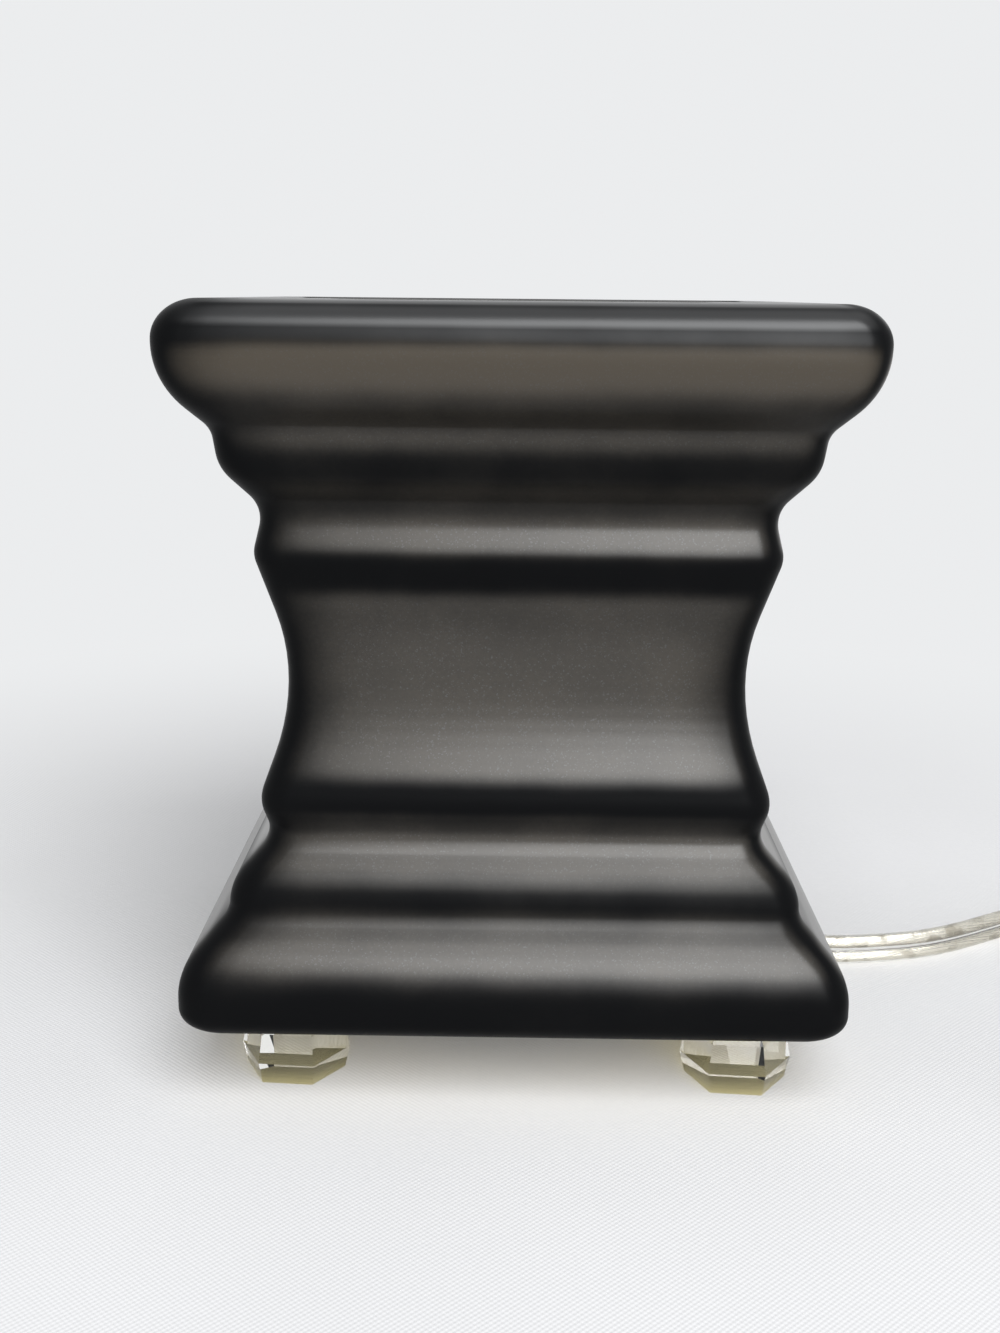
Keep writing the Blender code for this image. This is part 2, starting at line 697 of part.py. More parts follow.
def build_plate(steel, zinc, nylon):
    profile = [
        (0.0, PLATE_BOTTOM),
        (PLATE_RADIUS - PLATE_ROLL, PLATE_BOTTOM),
        (PLATE_RADIUS, PLATE_BOTTOM + PLATE_ROLL),
        (PLATE_RADIUS, PLATE_TOP),
        (0.0, PLATE_TOP),
    ]
    plate = lathe("base_plate", profile, steel, steps=PLATE_STEPS)
    below, above = PLATE_BOTTOM - PLATE_THICK, PLATE_TOP + PLATE_THICK
    holes = [
        ("plate_screw_holes", screw_spots(), SCREW_SHANK_RADIUS + 2 * BORE_GAP),
        ("plate_rivet_holes", rivet_spots(), RIVET_RADIUS + BORE_GAP),
        ("plate_lead_hole", [(BUSHING_X, BUSHING_Y)], BUSHING_NECK_RADIUS + BORE_GAP),
        ("plate_vents", spots_round(VENT_COUNT, VENT_CIRCLE, math.pi / VENT_COUNT), VENT_RADIUS),
    ]
    for name, spots, radius in holes:
        combine(plate, rod_cutter(name, spots, radius, below, above))
    head_top = PLATE_BOTTOM - SEAT_GAP
    head_low = head_top - SCREW_HEAD_HEIGHT
    anchor_top = FLOOR_Z + SEAT_GAP + ANCHOR_HEAD_HEIGHT
    bore = SCREW_SHANK_RADIUS + BORE_GAP
    for number, (x, y) in enumerate(screw_spots(), 1):
        screw = [
            (0.0, head_low),
            (SCREW_HEAD_RADIUS - SCREW_HEAD_DRAW, head_low),
            (SCREW_HEAD_RADIUS, head_low + SCREW_HEAD_DRAW),
            (SCREW_HEAD_RADIUS, head_top),
            (SCREW_SHANK_RADIUS, head_top),
            (SCREW_SHANK_RADIUS, anchor_top),
            (0.0, anchor_top + SCREW_SHANK_RADIUS),
        ]
        lathe(f"base_screw_{number}", screw, zinc, (x, y, 0))
        anchor = [
            (bore, BODY_BOTTOM),
            (ANCHOR_RADIUS, BODY_BOTTOM),
            (ANCHOR_RADIUS, FLOOR_Z + SEAT_GAP),
            (ANCHOR_HEAD_RADIUS, FLOOR_Z + SEAT_GAP),
            (bore + ANCHOR_HEAD_HEIGHT, anchor_top),
            (bore, anchor_top),
        ]
        lathe(f"screw_anchor_{number}", anchor, nylon, (x, y, 0), closed=True)


def rivet_spots():
    return [(0.0, -RIVET_OFFSET), (0.0, RIVET_OFFSET)]


def build_strap(steel, zinc):
    """A hat-shaped strap across Y, with a foot at each end and a deck in the middle."""
    foot_top = STRAP_FOOT_Z + STRAP_THICK
    deck_under = DECK_TOP - STRAP_THICK
    knee = STRAP_DECK_HALF + STRAP_LEAN
    outer_bend = STRAP_BEND + STRAP_THICK
    upper = [
        (-STRAP_FOOT_HALF, foot_top, 0.0),
        (-knee, foot_top, STRAP_BEND),
        (-STRAP_DECK_HALF, DECK_TOP, outer_bend),
        (STRAP_DECK_HALF, DECK_TOP, outer_bend),
        (knee, foot_top, STRAP_BEND),
        (STRAP_FOOT_HALF, foot_top, 0.0),
    ]
    lower = [
        (STRAP_FOOT_HALF, STRAP_FOOT_Z, 0.0),
        (knee - STRAP_THICK, STRAP_FOOT_Z, outer_bend),
        (STRAP_DECK_HALF - STRAP_THICK, deck_under, STRAP_BEND),
        (STRAP_THICK - STRAP_DECK_HALF, deck_under, STRAP_BEND),
        (STRAP_THICK - knee, STRAP_FOOT_Z, outer_bend),
        (-STRAP_FOOT_HALF, STRAP_FOOT_Z, 0.0),
    ]
    outline = rounded(upper, STRAP_ARC_STEP) + rounded(lower, STRAP_ARC_STEP)
    sides = [[Vector((x, y, z)) for y, z in outline] for x in (-STRAP_HALF_WIDTH, STRAP_HALF_WIDTH)]
    strap = loft("socket_strap", sides, steel)
    low, high = PLATE_BOTTOM, DECK_TOP + STRAP_THICK
    rivet_hole = RIVET_RADIUS + BORE_GAP
    screw_hole = SCREW_SHANK_RADIUS + BORE_GAP
    combine(strap, rod_cutter("strap_rivet_holes", rivet_spots(), rivet_hole, low, high, RIVET_STEPS))
    combine(strap, rod_cutter("strap_screw_hole", [(0, 0)], screw_hole, low, high))
    under = PLATE_BOTTOM - SEAT_GAP
    over = foot_top + SEAT_GAP
    for number, (x, y) in enumerate(rivet_spots(), 1):
        rivet = stepped(
            (RIVET_HEAD_RADIUS, under - RIVET_HEAD_HEIGHT, under),
            (RIVET_RADIUS, under, over),
            (RIVET_HEAD_RADIUS, over, over + RIVET_HEAD_HEIGHT),
        )
        lathe(f"strap_rivet_{number}", rivet, zinc, (x, y, 0), RIVET_STEPS)
    head_top = deck_under - SEAT_GAP
    socket_screw = stepped(
        (SCREW_HEAD_RADIUS, head_top - SCREW_HEAD_HEIGHT, head_top),
        (SCREW_SHANK_RADIUS, head_top, SOCKET_Z + SOCKET_SCREW_BITE),
    )
    lathe("socket_screw", socket_screw, zinc)


def build_socket(phenolic, brass):
    top = SOCKET_Z + SOCKET_HEIGHT
    shoulder = SOCKET_Z + SOCKET_SHOULDER_RISE
    blind = SCREW_SHANK_RADIUS + BORE_GAP
    blind_top = SOCKET_Z + SOCKET_SCREW_BITE + SEAT_GAP
    profile = [
        (blind, SOCKET_Z),
        (SOCKET_RADIUS, SOCKET_Z),
        (SOCKET_RADIUS, shoulder),
        (SOCKET_NECK_RADIUS, shoulder + (SOCKET_RADIUS - SOCKET_NECK_RADIUS)),
        (SOCKET_NECK_RADIUS, top - SOCKET_RIM_ROUND),
        (SOCKET_NECK_RADIUS - SOCKET_RIM_ROUND, top),
        (SOCKET_BORE_RADIUS, top),
        (SOCKET_BORE_RADIUS, SOCKET_FLOOR_Z),
        (0.0, SOCKET_FLOOR_Z),
        (0.0, blind_top),
        (blind, blind_top),
    ]
    lathe("lamp_socket", profile, phenolic, steps=ROUND_STEPS, closed=True)
    outer = SOCKET_BORE_RADIUS - BORE_GAP
    inner = outer - SLEEVE_WALL
    low = SOCKET_FLOOR_Z + SEAT_GAP
    sleeve = [
        (SLEEVE_HOLE_RADIUS, low),
        (outer, low),
        (outer, top - SEAT_GAP),
        (inner, top - SEAT_GAP),
        (inner, low + SLEEVE_WALL),
        (SLEEVE_HOLE_RADIUS, low + SLEEVE_WALL),
    ]
    lathe("socket_sleeve", sleeve, brass, steps=ROUND_STEPS, closed=True)
    contact = [
        (0.0, CONTACT_Z),
        (CONTACT_RADIUS, CONTACT_Z),
        (CONTACT_RADIUS, CONTACT_Z + CONTACT_STEP),
        (CONTACT_BUTTON_RADIUS, CONTACT_Z + CONTACT_STEP),
        (CONTACT_BUTTON_RADIUS, CONTACT_Z + CONTACT_HEIGHT),
        (0.0, CONTACT_Z + CONTACT_HEIGHT),
    ]
    lathe("socket_contact", contact, brass)


# Bulb


def globe_profile(inward):
    """The glass from its neck to its crown, moved inwards."""
    neck = NECK_RADIUS - inward
    radius = GLOBE_RADIUS - inward
    start = Vector((neck, GLASS_Z))
    meet = Vector((radius * math.cos(NECK_ANGLE), GLOBE_Z + radius * math.sin(NECK_ANGLE)))
    pull = (meet - start).length
    up = Vector((0.0, 1.0)) * pull
    out = Vector((-math.sin(NECK_ANGLE), math.cos(NECK_ANGLE))) * pull
    points = []
    for k in range(NECK_STEPS):
        t = k / NECK_STEPS
        spot = (
            start * (2 * t**3 - 3 * t**2 + 1)
            + up * (t**3 - 2 * t**2 + t)
            + meet * (3 * t**2 - 2 * t**3)
            + out * (t**3 - t**2)
        )
        points.append((spot.x, spot.y))
    for k in range(GLOBE_STEPS):
        angle = NECK_ANGLE + (math.pi / 2 - NECK_ANGLE) * k / GLOBE_STEPS
        points.append((radius * math.cos(angle), GLOBE_Z + radius * math.sin(angle)))
    points.append((0.0, GLOBE_Z + radius))
    return points


def build_bulb(glass, brass, black, tungsten):
    tip = [
        (0.0, TIP_Z),
        (TIP_RADIUS - TIP_ROUND, TIP_Z),
        (TIP_RADIUS, TIP_Z + TIP_ROUND),
        (TIP_RADIUS, TIP_Z + TIP_HEIGHT),
        (0.0, TIP_Z + TIP_HEIGHT),
    ]
    lathe("bulb_tip", tip, brass)
    low = TIP_Z + TIP_HEIGHT + SEAT_GAP
    insulator = [
        (0.0, low),
        (INSULATOR_LOW_RADIUS, low),
        (CAP_RADIUS - INSULATOR_DRAW, CAP_Z - SEAT_GAP),
        (0.0, CAP_Z - SEAT_GAP),
    ]
    lathe("bulb_insulator", insulator, black)
    cap_top = GLASS_Z - SEAT_GAP
    collar_low = cap_top - CAP_COLLAR
    cap = [
        (0.0, CAP_Z),
        (CAP_RADIUS - CAP_END_DRAW, CAP_Z),
        (CAP_RADIUS, CAP_Z + CAP_END_DRAW),
        (CAP_RADIUS, collar_low - CAP_FLARE),
        (NECK_RADIUS, collar_low),
        (NECK_RADIUS, cap_top),
        (STEM_RADIUS + BORE_GAP, cap_top),
        (STEM_RADIUS + BORE_GAP, cap_top - STEM_SINK),
        (0.0, cap_top - STEM_SINK),
    ]
    lathe("bulb_cap", cap, brass, steps=BULB_STEPS)
    shell = globe_profile(0.0) + globe_profile(GLASS_WALL)[::-1]
    lathe("bulb_glass", shell, glass, steps=BULB_STEPS, closed=True)
    stem_low = cap_top - STEM_SINK + SEAT_GAP
    stem_top = stem_low + STEM_HEIGHT
    stem = [
        (0.0, stem_low),
        (STEM_RADIUS, stem_low),
        (STEM_RADIUS, cap_top),
        (STEM_PINCH_RADIUS, stem_low + STEM_PINCH_RISE),
        (STEM_TOP_RADIUS, stem_top),
        (0.0, stem_top),
    ]
    lathe("bulb_stem", stem, glass)
    filament_z = CAP_Z + FILAMENT_RISE
    for number, side in ((1, -1), (2, 1)):
        foot = Vector((side * WIRE_FOOT_OFFSET, 0, stem_top + SEAT_GAP))
        head = Vector((side * FILAMENT_HALF_SPAN, 0, filament_z - 2 * SUPPORT_WIRE_RADIUS - SEAT_GAP))
        straight = Vector((0, 0, WIRE_STRAIGHT))
        path = smooth_route([foot, foot + straight, head - straight, head], 10 * SUPPORT_WIRE_RADIUS)
        wire(f"bulb_wire_{number}", path, SUPPORT_WIRE_RADIUS, tungsten, 1)
    span = FILAMENT_HALF_SPAN + SUPPORT_WIRE_RADIUS
    arch = []
    for k in range(FILAMENT_STEPS + 1):
        across = 2 * k / FILAMENT_STEPS - 1
        rise = FILAMENT_ARCH * (1 - across * across)
        arch.append((span * across, 0.0, filament_z + rise))
    wire("bulb_filament", arch, FILAMENT_WIRE_RADIUS, tungsten, 1)


# Lead, from the inside of the body to the plug


def boot_stations():
    """Along the strain relief: (place from its root, width as a share of the plain taper)."""
    length = BOOT_END_X - BUSHING_X + BOOT_ROOT_RADIUS
    pitch = (length - BOOT_PLAIN - BOOT_TIP) / BOOT_RIBS
    flank = pitch / 8
    stations = [(0.0, BOOT_ROOT_SHARE), (BOOT_ROOT_ROUND, 1.0)]
    for k in range(BOOT_RIBS):
        low = BOOT_PLAIN + k * pitch
        high = low + pitch / 2
        groove = [(low + flank, BOOT_GROOVE_SHARE), (high - flank, BOOT_GROOVE_SHARE)]
        stations += [(low, 1.0), *groove, (high, 1.0)]
    stations.append((length, 1.0))
    return stations


def build_bushing(rubber):
    """The grommet in the plate, with a ribbed strain relief that points to the right."""
    neck_low = PLATE_BOTTOM - SEAT_GAP
    neck_high = PLATE_TOP + SEAT_GAP
    end = BOOT_AXIS_Z - BUSHING_REACH
    grommet = [
        (0.0, end),
        (BUSHING_NECK_RADIUS - BUSHING_END_DRAW, end),
        (BUSHING_FLANGE_RADIUS, neck_low - BUSHING_FLANGE_THICK),
        (BUSHING_FLANGE_RADIUS, neck_low),
        (BUSHING_NECK_RADIUS, neck_low),
        (BUSHING_NECK_RADIUS, neck_high),
        (BUSHING_FLANGE_RADIUS, neck_high),
        (BUSHING_FLANGE_RADIUS - BUSHING_FLANGE_DRAW, BUSHING_TOP),
        (0.0, BUSHING_TOP),
    ]
    bushing = lathe("lead_bushing", grommet, rubber, (BUSHING_X, BUSHING_Y, 0), ROUND_STEPS)
    tip_across = CORD_THICK / 2 + BOOT_LIP
    tip_up = CORD_WIDTH / 2 + BOOT_LIP
    start = BUSHING_X - BOOT_ROOT_RADIUS
    stations = boot_stations()
    rings = []
    for along, width in stations:
        share = along / stations[-1][0]
        across = BOOT_ROOT_RADIUS + (tip_across - BOOT_ROOT_RADIUS) * share
        up = BOOT_ROOT_RADIUS + (tip_up - BOOT_ROOT_RADIUS) * share
        middle = (start + along, BUSHING_Y, BOOT_AXIS_Z)
        rings.append(oval_ring(middle, across * width, up * width, BOOT_STEPS, 2.2))
    boot = hidden(loft("boot_shape", rings, rubber))
    combine(bushing, boot, "UNION")


def build_inner_leads(dark, pale):
    reach = SOCKET_RADIUS + SEAT_GAP
    pieces = (("inner_lead_live", -1, dark), ("inner_lead_neutral", 1, pale))
    for (name, side, finish), turn in zip(pieces, INNER_LEAD_ANGLES):
        outward = Vector((math.cos(turn), math.sin(turn), 0.0))
        end = outward * reach + Vector((0.0, 0.0, SOCKET_Z + INNER_LEAD_RISE))
        foot = Vector((BUSHING_X, BUSHING_Y + side * INNER_LEAD_PART, BUSHING_TOP + SEAT_GAP))
        rise = foot + Vector((0.0, 0.0, INNER_LEAD_RADIUS))
        path = smooth_route([foot, rise, end + outward * INNER_LEAD_STRAIGHT, end], 2 * INNER_LEAD_RADIUS)
        wire(name, path, INNER_LEAD_RADIUS, finish, 2)


def lead_route():
    """The lead from the boot to the switch, over the table."""
    low = CORD_Z
    high = SWITCH_AXIS_Z
    entry = SWITCH_Y + SWITCH_LENGTH / 2 + SEAT_GAP
    return [
        (BOOT_END_X + SEAT_GAP, BUSHING_Y, BOOT_AXIS_Z),
        (BOOT_END_X + CORD_WIDTH, BUSHING_Y, BOOT_AXIS_Z),
        (0.0610, 0.0078, 0.0059),
        (0.0690, 0.0088, 0.0042),
        (0.0765, 0.0099, low),
        (0.0836, 0.0108, low),
        (0.0910, 0.0123, low),
        (0.0985, 0.0149, low),
        (0.1064, 0.0191, low),
        (0.1181, 0.0266, low),
        (0.1300, 0.0337, low),
        (0.1450, 0.0408, low),
        (0.1650, 0.0472, low),
        (0.1880, 0.0505, low),
        (0.2100, 0.0507, low),
        (0.2300, 0.0480, 0.0042),
        (0.2460, 0.0420, 0.0058),
        (0.2570, 0.0330, 0.0074),
        (SWITCH_X, entry + CORD_WIDTH, high),
        (SWITCH_X, entry, high),
    ]


def run_route():
    """The lead from the switch to the coil."""
    entry = SWITCH_Y - SWITCH_LENGTH / 2 - SEAT_GAP
    level = COIL_Y - COIL_OUTER_RADIUS
    return [
        (SWITCH_X, entry, SWITCH_AXIS_Z),
        (SWITCH_X, entry - CORD_WIDTH, SWITCH_AXIS_Z),
        (0.2570, entry - 0.0180, 0.0062),
        (0.2465, entry - 0.0268, 0.0044),
        (0.2330, level + 0.0002, CORD_Z),
        (COIL_X + 2 * CORD_WIDTH + SEAT_GAP, level, CORD_Z),
        (COIL_X + CORD_WIDTH + SEAT_GAP, level, CORD_Z),
    ]


def tail_route():
    """The lead from the coil to the plug."""
    level = COIL_Y - COIL_OUTER_RADIUS
    top = CORD_Z + COIL_LAYER_STEP
    return [
        (COIL_X - CORD_WIDTH - SEAT_GAP, level, top),
        (COIL_X - 2 * CORD_WIDTH - SEAT_GAP, level, top),
        (0.1730, level, 0.0092),
        (PLUG_REAR_X + SEAT_GAP + CORD_WIDTH, level, PLUG_AXIS_Z),
        (PLUG_REAR_X + SEAT_GAP, level, PLUG_AXIS_Z),
    ]


def coil_points():
    """Two layers of loops: in along the table, up a layer, and out again above, clockwise."""
    total = 2 * COIL_TURNS_A_LAYER + 0.5
    middle = total / 2
    count = round(total * COIL_POINTS_A_TURN)
    points = [Vector((COIL_X + CORD_WIDTH, COIL_Y - COIL_OUTER_RADIUS, CORD_Z))]
    for k in range(count + 1):
        turns = total * k / count
        radius = COIL_OUTER_RADIUS - COIL_SIDE_STEP * (middle - abs(turns - middle))
        climb = min(1.0, max(0.0, (turns - COIL_TURNS_A_LAYER) / 0.5))
        z = CORD_Z + COIL_LAYER_STEP * climb * climb * (3 - 2 * climb)
        angle = -math.pi / 2 - 2 * math.pi * turns
        points.append(Vector((COIL_X + radius * math.cos(angle), COIL_Y + radius * math.sin(angle), z)))
    end = points[-1].copy()
    end.x -= CORD_WIDTH
    points.append(end)
    return points


def least_gap(points):
    """The least space between two turns of a flat lead that stands on edge."""
    web = CORD_WIDTH - CORD_THICK
    apart = COIL_POINTS_A_TURN // 2
    least = 1.0
    for i, p in enumerate(points):
        for q in points[i + apart :]:
            upright = max(0.0, abs(p.z - q.z) - web)
            level = math.hypot(p.x - q.x, p.y - q.y)
            least = min(least, math.hypot(level, upright) - CORD_THICK)
    return least


def build_lead(clear_pvc):
    spacing = 2 * CORD_WIDTH
    lead_section("cord_lead", smooth_route(lead_route(), spacing), 2, clear_pvc)
    lead_section("cord_run", smooth_route(run_route(), spacing), 2, clear_pvc)
    turns = coil_points()
    lead_section("cord_coil", turns, 1, clear_pvc)
    lead_section("cord_tail", smooth_route(tail_route(), spacing), 2, clear_pvc)
    print(f"least gap between turns of the coil: {least_gap(turns) * 1000:.2f} mm")


def switch_rings(levels):
    """Level rings of one half of the switch housing, from (height, half-width share) pairs."""
    rings = []
    half_length = SWITCH_LENGTH / 2
    for z, share in levels:
        ring = []
        for k in range(SWITCH_STEPS):
            angle = 2 * math.pi * k / SWITCH_STEPS
            along = math.copysign(abs(math.sin(angle)) ** 0.55, math.sin(angle))
            waist = 1.0 - abs(along) ** 2.6
            half = SWITCH_END_HALF + (SWITCH_HALF_WIDTH - SWITCH_END_HALF) * waist
            across = math.copysign(abs(math.cos(angle)) ** 0.30, math.cos(angle)) * half
            reach = half_length - (1.0 - share) * SWITCH_END_DRAW
            ring.append(Vector((SWITCH_X + across * share, SWITCH_Y + along * reach, z)))
        rings.append(ring)
    return rings


def build_switch(housing, wheel_finish, zinc):
    bottom = SWITCH_CLEAR
    top = SWITCH_CLEAR + SWITCH_HEIGHT
    seam = SWITCH_AXIS_Z
    half = SEAT_GAP / 2
    bend = SWITCH_ROUND / 2
    lower_levels = [
        (bottom, SWITCH_FACE_SHARE),
        (bottom + bend, SWITCH_EDGE_SHARE),
        (bottom + SWITCH_ROUND, 1.0),
        (seam - half, 1.0),
    ]
    upper_levels = [
        (seam + half, 1.0),
        (top - SWITCH_ROUND, 1.0),
        (top - bend, SWITCH_EDGE_SHARE),
        (top, SWITCH_FACE_SHARE),
    ]
    lower = loft("switch_lower", switch_rings(lower_levels), housing)
    upper = loft("switch_upper", switch_rings(upper_levels), housing)
    axis_x = SWITCH_X + WHEEL_SHIFT
    pocket_half = WHEEL_THICK / 2 + WHEEL_CLEAR
    pocket_radius = WHEEL_RADIUS + WHEEL_CLEAR
    axis = [(axis_x, SWITCH_Y)]
    low, high = seam - pocket_half, seam + pocket_half
    pocket = rod_cutter("wheel_pocket", axis, pocket_radius, low, high, SWITCH_STEPS)
    pin_half = WHEEL_THICK / 2 + PIN_REACH
    pin_hole = rod_cutter("pin_hole", axis, PIN_RADIUS + BORE_GAP, seam - pin_half, seam + pin_half)
    screw_y = SWITCH_Y + SWITCH_SCREW_OFFSET
    screw_spot = [(SWITCH_X, screw_y)]
    bite = seam + SWITCH_SCREW_BITE
    head_top = bottom + SCREW_HEAD_HEIGHT + SWITCH_SCREW_SINK
    screw_hole = rod_cutter("switch_screw_hole", screw_spot, SCREW_SHANK_RADIUS + BORE_GAP, -bottom, bite)
    head_hole = rod_cutter("switch_head_hole", screw_spot, SCREW_HEAD_RADIUS + BORE_GAP, -bottom, head_top)
    for piece in (lower, upper):
        combine(piece, pocket)
        combine(piece, pin_hole)
        combine(piece, screw_hole)
    combine(lower, head_hole)
    head_top -= SEAT_GAP
    screw = stepped(
        (SCREW_HEAD_RADIUS, head_top - SCREW_HEAD_HEIGHT, head_top),
        (SCREW_SHANK_RADIUS, head_top, bite - SEAT_GAP),
    )
    lathe("switch_screw", screw, zinc, (SWITCH_X, screw_y, 0))
    pin_reach = pin_half - SEAT_GAP
    pin = stepped((PIN_RADIUS, -pin_reach, pin_reach))
    lathe("switch_pin", pin, zinc, (axis_x, SWITCH_Y, seam))
    build_wheel(wheel_finish, (axis_x, SWITCH_Y, seam))


def build_wheel(finish, place):
    """A ridged wheel with a bore for its pin, from levels of (draw of the rim, height)."""
    bore = PIN_RADIUS + RUN_CLEAR
    count = 2 * WHEEL_RIDGES
    rim_out = [WHEEL_RADIUS - (k % 2) * WHEEL_RIDGE_DEPTH for k in range(count)]
    bm = bmesh.new()
    rows = []
    reach = WHEEL_THICK / 2
    edge = reach - WHEEL_CHAMFER
    levels = [(None, -reach), (WHEEL_CHAMFER, -reach), (0.0, -edge)]
    levels += [(0.0, edge), (WHEEL_CHAMFER, reach), (None, reach)]
    for draw, z in levels:
        row = []
        for k in range(count):
            angle = 2 * math.pi * k / count
            radius = bore if draw is None else rim_out[k] - draw
            row.append(bm.verts.new((radius * math.cos(angle), radius * math.sin(angle), z)))
        rows.append(row)
    for low, high in zip(rows, rows[1:] + rows[:1]):
        for k in range(count):
            after = (k + 1) % count
            bm.faces.new((low[k], low[after], high[after], high[k]))
    wheel = add_object("switch_wheel", bm, finish)
    wheel.location = place


def build_plug(rubber, brass):
    level = COIL_Y - COIL_OUTER_RADIUS
    front = PLUG_REAR_X - PLUG_LENGTH
    rings = []
    for share, swell in PLUG_SWELL:
        across = PLUG_REAR_HALF_WIDTH + (PLUG_HALF_WIDTH - PLUG_REAR_HALF_WIDTH) * swell
        up = PLUG_REAR_HALF_HEIGHT + (PLUG_HALF_HEIGHT - PLUG_REAR_HALF_HEIGHT) * swell
        middle = (PLUG_REAR_X - PLUG_LENGTH * share, level, PLUG_AXIS_Z)
        rings.append(oval_ring(middle, across, up, PLUG_STEPS, 3.2))
    body = loft("plug_body", rings, rubber)
    for number, side in ((1, -1), (2, 1)):
        y = level + side * BLADE_SPACING / 2
        half = BLADE_THICK / 2
        tall = BLADE_WIDTH / 2
        slot = box_cutter(
            f"blade_slot_{number}",
            (front - BLADE_ROOT, y - half - SEAT_GAP, PLUG_AXIS_Z - tall - SEAT_GAP),
            (front + BLADE_ROOT + SEAT_GAP, y + half + SEAT_GAP, PLUG_AXIS_Z + tall + SEAT_GAP),
        )
        combine(body, slot)
        tip = front - BLADE_LENGTH
        rings = []
        for x, draw in ((front + BLADE_ROOT, 0.0), (tip + BLADE_TIP_LENGTH, 0.0), (tip, BLADE_TIP_DRAW)):
            thin = half - draw / 2
            short = tall - draw
            rings.append(
                [
                    Vector((x, y - thin, PLUG_AXIS_Z - short)),
                    Vector((x, y + thin, PLUG_AXIS_Z - short)),
                    Vector((x, y + thin, PLUG_AXIS_Z + short)),
                    Vector((x, y - thin, PLUG_AXIS_Z + short)),
                ]
            )
        blade = loft(f"plug_blade_{number}", rings, brass, flat=True)
        bm = bmesh.new()
        matrix = Matrix.Translation((tip + BLADE_HOLE_INSET, y, PLUG_AXIS_Z))
        matrix @= Matrix.Rotation(math.pi / 2, 4, "X")
        bmesh.ops.create_cone(
            bm,
            cap_ends=True,
            segments=RIVET_STEPS,
            radius1=BLADE_HOLE_RADIUS,
            radius2=BLADE_HOLE_RADIUS,
            depth=4 * BLADE_THICK,
            matrix=matrix,
        )
        combine(blade, as_cutter(f"blade_hole_{number}", bm))


def main():
    clear_scene()
    glaze = material("dark bronze glaze", (0.075, 0.068, 0.058), 0.42, 0.35)
    dish_glaze = material("dark dish glaze", (0.060, 0.056, 0.050), 0.30)
    crystal = material("clear crystal", (0.93, 0.94, 0.92), 0.02, alpha=0.35)
    glue = material("amber glue", (0.55, 0.47, 0.28), 0.35, alpha=0.7)
    steel = material("plated steel", (0.60, 0.60, 0.58), 0.35, 1.0)
    zinc = material("zinc plate", (0.66, 0.66, 0.64), 0.30, 1.0)
    nylon = material("white nylon", (0.80, 0.79, 0.74), 0.45)
    phenolic = material("black phenolic", (0.030, 0.028, 0.026), 0.40)
    brass = material("brass", (0.78, 0.60, 0.30), 0.28, 1.0)
    glass = material("clear glass", (0.95, 0.96, 0.95), 0.02, alpha=0.3)
    black = material("black glass", (0.02, 0.02, 0.02), 0.15)
    tungsten = material("tungsten", (0.35, 0.34, 0.33), 0.35, 1.0)
    rubber = material("black rubber", (0.028, 0.028, 0.028), 0.60)
    dark_cover = material("black wire cover", (0.035, 0.033, 0.032), 0.45)
    pale_cover = material("white wire cover", (0.78, 0.77, 0.73), 0.45)
    clear_pvc = material("clear cord cover", (0.78, 0.75, 0.66), 0.20, 0.2, alpha=0.9)
    build_body(glaze)
    build_dish(dish_glaze)
    build_feet(crystal, glue)
    build_plate(steel, zinc, nylon)
    build_strap(steel, zinc)
    build_socket(phenolic, brass)
    build_bulb(glass, brass, black, tungsten)
    build_bushing(rubber)
    build_inner_leads(dark_cover, pale_cover)
    build_lead(clear_pvc)
    build_switch(phenolic, phenolic, zinc)
    build_plug(rubber, brass)


main()
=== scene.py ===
import math

import bmesh
import bpy
from bpy.props import FloatProperty, FloatVectorProperty, IntProperty, PointerProperty
from mathutils import Matrix, Vector


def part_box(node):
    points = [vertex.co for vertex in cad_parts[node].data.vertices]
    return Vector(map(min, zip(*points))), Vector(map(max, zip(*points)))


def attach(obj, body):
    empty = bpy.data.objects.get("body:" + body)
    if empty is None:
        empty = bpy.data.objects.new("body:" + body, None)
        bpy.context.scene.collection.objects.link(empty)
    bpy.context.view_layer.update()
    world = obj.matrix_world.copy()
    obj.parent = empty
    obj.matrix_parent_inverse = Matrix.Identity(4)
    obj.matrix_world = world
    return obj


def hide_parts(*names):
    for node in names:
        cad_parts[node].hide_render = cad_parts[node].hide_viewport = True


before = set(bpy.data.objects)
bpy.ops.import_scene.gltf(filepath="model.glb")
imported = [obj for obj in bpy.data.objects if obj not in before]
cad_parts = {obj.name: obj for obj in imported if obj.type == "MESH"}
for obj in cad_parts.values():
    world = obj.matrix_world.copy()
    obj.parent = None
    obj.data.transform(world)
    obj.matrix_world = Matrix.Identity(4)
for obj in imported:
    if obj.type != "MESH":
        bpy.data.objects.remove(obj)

bl_info = {
    "name": "Wax Warmer Looks",
    "version": (1, 0, 0),
    "blender": (4, 5, 0),
    "location": "View3D > Sidebar > Wax Warmer",
    "description": "Dresses the packed wax warmer with its ceramic, crystal, lead and studio",
    "category": "Object",
}

# Room that the pieces keep
SEAT_GAP = 0.0003
DISH_CLEAR = 0.0005

# Fineness of the shapes: room left for arcs, points along a ring's flat sides, and steps of curves
ARC_ROOM = 0.995
ARC_LEAST_REACH = 1e-6
MERGE_DISTANCE = 1e-7
FLAT_SHARES = (0.93, 0.85, 0.77, 0.68, 0.56, 0.36, 0.0, -0.36, -0.56, -0.68, -0.77, -0.85, -0.93)
INSIDE_COARSENESS = 3
DISH_COARSENESS = 1.5
HOLE_SIDES = 64
CURVE_STEPS = 12
LOBE_STEPS = 14
BUNDLE_SIDES = 12
COIL_STEPS_A_TURN = 60
CORD_SPACING = 0.0025

